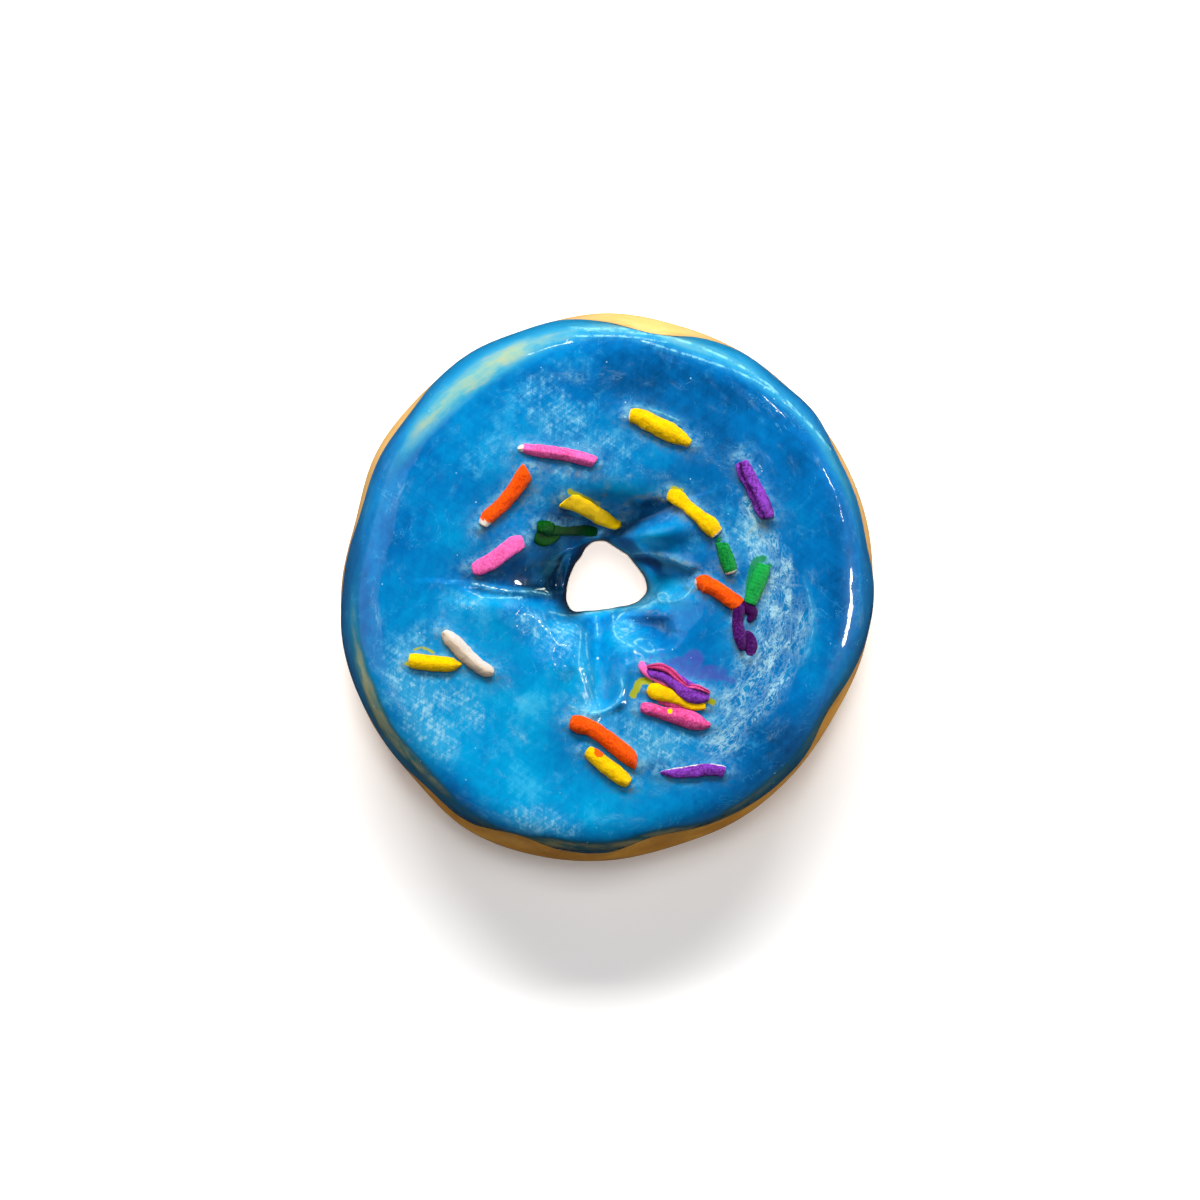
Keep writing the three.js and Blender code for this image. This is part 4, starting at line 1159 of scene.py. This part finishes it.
def tan_glaze():
    place = millimetres((1, 1, 2.5))
    streak = span(speckle(9, place, 3) + speckle(1.2, place, 8, 0.7) * 0.5, 0.5, 1)
    # painted shade: the tan turns brown towards the front, away from the light
    tint = mix(streak, (0.70, 0.39, 0.10), (0.76, 0.46, 0.17))
    shaded_brown = mix(streak, (0.52, 0.205, 0.004), (0.76, 0.36, 0.025))
    speck = span(speckle(0.5, place, 3), 0.62, 0.72)
    return material("tan_glaze", {
        "Base Color": lay(mix(painted_front_shade(), tint, shaded_brown), (0.30, 0.15, 0.03), speck, 0.35),
        "Roughness": 0.35,
        "Normal": bump(speckle(1.5, place), 0.08, 0.5),
        "Coat Weight": 0.5,
        "Coat Roughness": 0.08,
    })


def paint(name, light, dark, roughness, clay):
    """Chalky paint, lighter on raised lumps as painted light and shade, that leaves some clay bare."""
    brush = speckle(0.4, detail=6, roughness=0.72) + mark("raised") * 0.22
    colour = mix(span(brush, 0.24, 0.64), dark, light)
    if name in SPOTS:
        colour = lay(colour, SPOTS[name][2], span(mark("spot_gap") + wobble(0.6, 0.8), 0.05, -0.05))
    bare = span(mark("bare") + wobble(1.2, 0.6), 0.42, 0.58)
    return material("paint_" + name, {
        "Base Color": lay(colour, clay, bare),
        "Roughness": roughness,
        "Specular IOR Level": 0.12,
        "Normal": bump(speckle(0.45, detail=8, roughness=0.75), 0.16, 0.9),
    })


PAINTS = {
    "yellow": ((0.80, 0.50, 0), (0.58, 0.29, 0)),
    "pink": ((0.82, 0.13, 0.43), (0.44, 0.03, 0.13)),
    "orange": ((0.84, 0.088, 0.002), (0.48, 0.024, 0)),
    "green": ((0.008, 0.28, 0.050), (0, 0.050, 0.0010)),
    "purple": ((0.25, 0.050, 0.50), (0.035, 0.002, 0.058)),
    "white": ((0.54, 0.51, 0.48), (0.48, 0.41, 0.33)),
}
PAINT_ROUGHNESS = {"green": 0.4, "purple": 0.4}
PLAIN_ROUGHNESS = 0.5
# the white sprinkle's clay colour, which on its south half is also painted shade
CLAY_UNDER = {"white": (0.52, 0.42, 0.32)}
BARE_CLAY = (0.70, 0.62, 0.54)

coat = glaze_coat()
coat.data.materials.append(blue_glaze())
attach(coat, "root")
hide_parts("icing")

tan = body()
tan.data.materials.append(tan_glaze())
tan.visible_glossy = False  # keeps its brown out of the dark wall of the hole
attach(tan, "root")
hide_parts("dough")

for colour, (light, dark) in PAINTS.items():
    piece = sprinkle_piece(colour)
    roughness = PAINT_ROUGHNESS.get(colour, PLAIN_ROUGHNESS)
    piece.data.materials.append(paint(colour, light, dark, roughness, CLAY_UNDER.get(colour, BARE_CLAY)))
    piece.visible_glossy = False  # the photo's glaze doesn't mirror them
    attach(piece, "root")
    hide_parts("icing")

# ---------------- floor, lights and camera

# Lengths here are metres.
FLOOR_HALF = 2
AIM_HEIGHT = 0.02


def floor_material():
    return material("pale_floor", {
        "Base Color": mix(speckle(40), (0.95, 0.95, 0.95), (0.97, 0.97, 0.97)),
        "Roughness": 0.9,
        "Emission Color": (1, 1, 1),
        "Emission Strength": 0.16,
    })


def stage_floor():
    corners = [(FLOOR_HALF * x, FLOOR_HALF * y, 0) for x, y in ((-1, -1), (1, -1), (1, 1), (-1, 1))]
    mesh = bpy.data.meshes.new("floor")
    mesh.from_pydata(corners, [], [(0, 1, 2, 3)])
    mesh.materials.append(floor_material())
    floor = bpy.data.objects.new("floor", mesh)
    floor.visible_glossy = False
    bpy.context.scene.collection.objects.link(floor)


def add_light(name, kind, location, **settings):
    data = bpy.data.lights.new(name, kind)
    for key, value in settings.items():
        setattr(data, key, value)
    light = bpy.data.objects.new(name, data)
    light.location = location
    bpy.context.scene.collection.objects.link(light)
    return light


def area_light(name, only, compass, elevation, distance, size, power, colour=(1, 1, 1), roll=0):
    """A soft light at a compass angle (0 is +X, 90 is +Y) and height in degrees, aimed at the part.

    only says whether it shows in the gloss alone or lights the matt colours alone.
    """
    turn, rise = math.radians(compass), math.radians(elevation)
    direction = Vector((math.cos(turn) * math.cos(rise), math.sin(turn) * math.cos(rise), math.sin(rise)))
    location = direction * distance + Vector((0, 0, AIM_HEIGHT))
    looks = {"shape": "RECTANGLE", "size": size[0], "size_y": size[1], "energy": power, "color": colour}
    light = add_light(name, "AREA", location, **looks)
    aim = (-direction).to_track_quat("-Z", "Y")
    light.rotation_euler = (aim @ Quaternion((0, 0, 1), math.radians(roll))).to_euler()
    light.visible_glossy = only != "matt"
    light.visible_diffuse = only != "gloss"


def beam_down_the_hole():
    """A narrow light straight down, so that the floor is as pale inside the ring as outside it."""
    looks = {"energy": 32, "spot_size": math.radians(0.62), "spot_blend": 0.3, "shadow_soft_size": 0.001}
    beam = add_light("hole_beam", "SPOT", (-0.0003, 0.0015, 1.2), **looks)
    beam.visible_glossy = False


stage_floor()
area_light("overhead", "matt", 90, 76, 1.2, (0.36, 0.36), 5.6)
area_light("key", "matt", 92, 38, 1, (0.8, 0.22), 18, (1, 0.98, 0.95))
area_light("east_fill", "matt", 5, 8, 0.8, (0.8, 0.15), 3.4)
area_light("west_fill", "matt", 172, 8, 0.8, (0.8, 0.15), 1.8)
area_light("north_strip", "gloss", 93, 32, 1, (0.5, 0.02), 0.9)
area_light("right_strip", "gloss", -8, 23.5, 1, (0.28, 0.15), 6.5, roll=-35)
area_light("right_glint", "gloss", 26, 24, 1, (0.10, 0.03), 0.35)
area_light("right_glint_below", "gloss", 18, 24, 1, (0.03, 0.03), 0.12)
area_light("upper_glint", "gloss", 46, 30, 1, (0.015, 0.02), 0.08)
area_light("left_window", "gloss", 170, 40, 1, (0.9, 1.1), 2.2, (0.80, 0.75, 1))
beam_down_the_hole()

world = bpy.data.worlds.new("studio")
world.use_nodes = True
world.node_tree.nodes["Background"].inputs[0].default_value = (0.75, 0.85, 1, 1)
world.node_tree.nodes["Background"].inputs[1].default_value = 0.02
bpy.context.scene.world = world

CAMERA_DISTANCE = 0.6  # above the widest line of the body
FRAME_WIDTH = 0.2234  # what the photo's full width spans at that level
SENSOR = 36
PHOTO_MIDDLE = (-0.0013, -0.0024)  # the part's place under the middle of the frame

lens = bpy.data.cameras.new("camera")
lens.sensor_width = SENSOR
lens.lens = SENSOR * CAMERA_DISTANCE / FRAME_WIDTH
camera = bpy.data.objects.new("camera", lens)
camera.location = (*PHOTO_MIDDLE, CAMERA_DISTANCE + EQUATOR_HEIGHT * MM)
bpy.context.scene.collection.objects.link(camera)
bpy.context.scene.camera = camera
bpy.context.scene.view_settings.view_transform = "Standard"
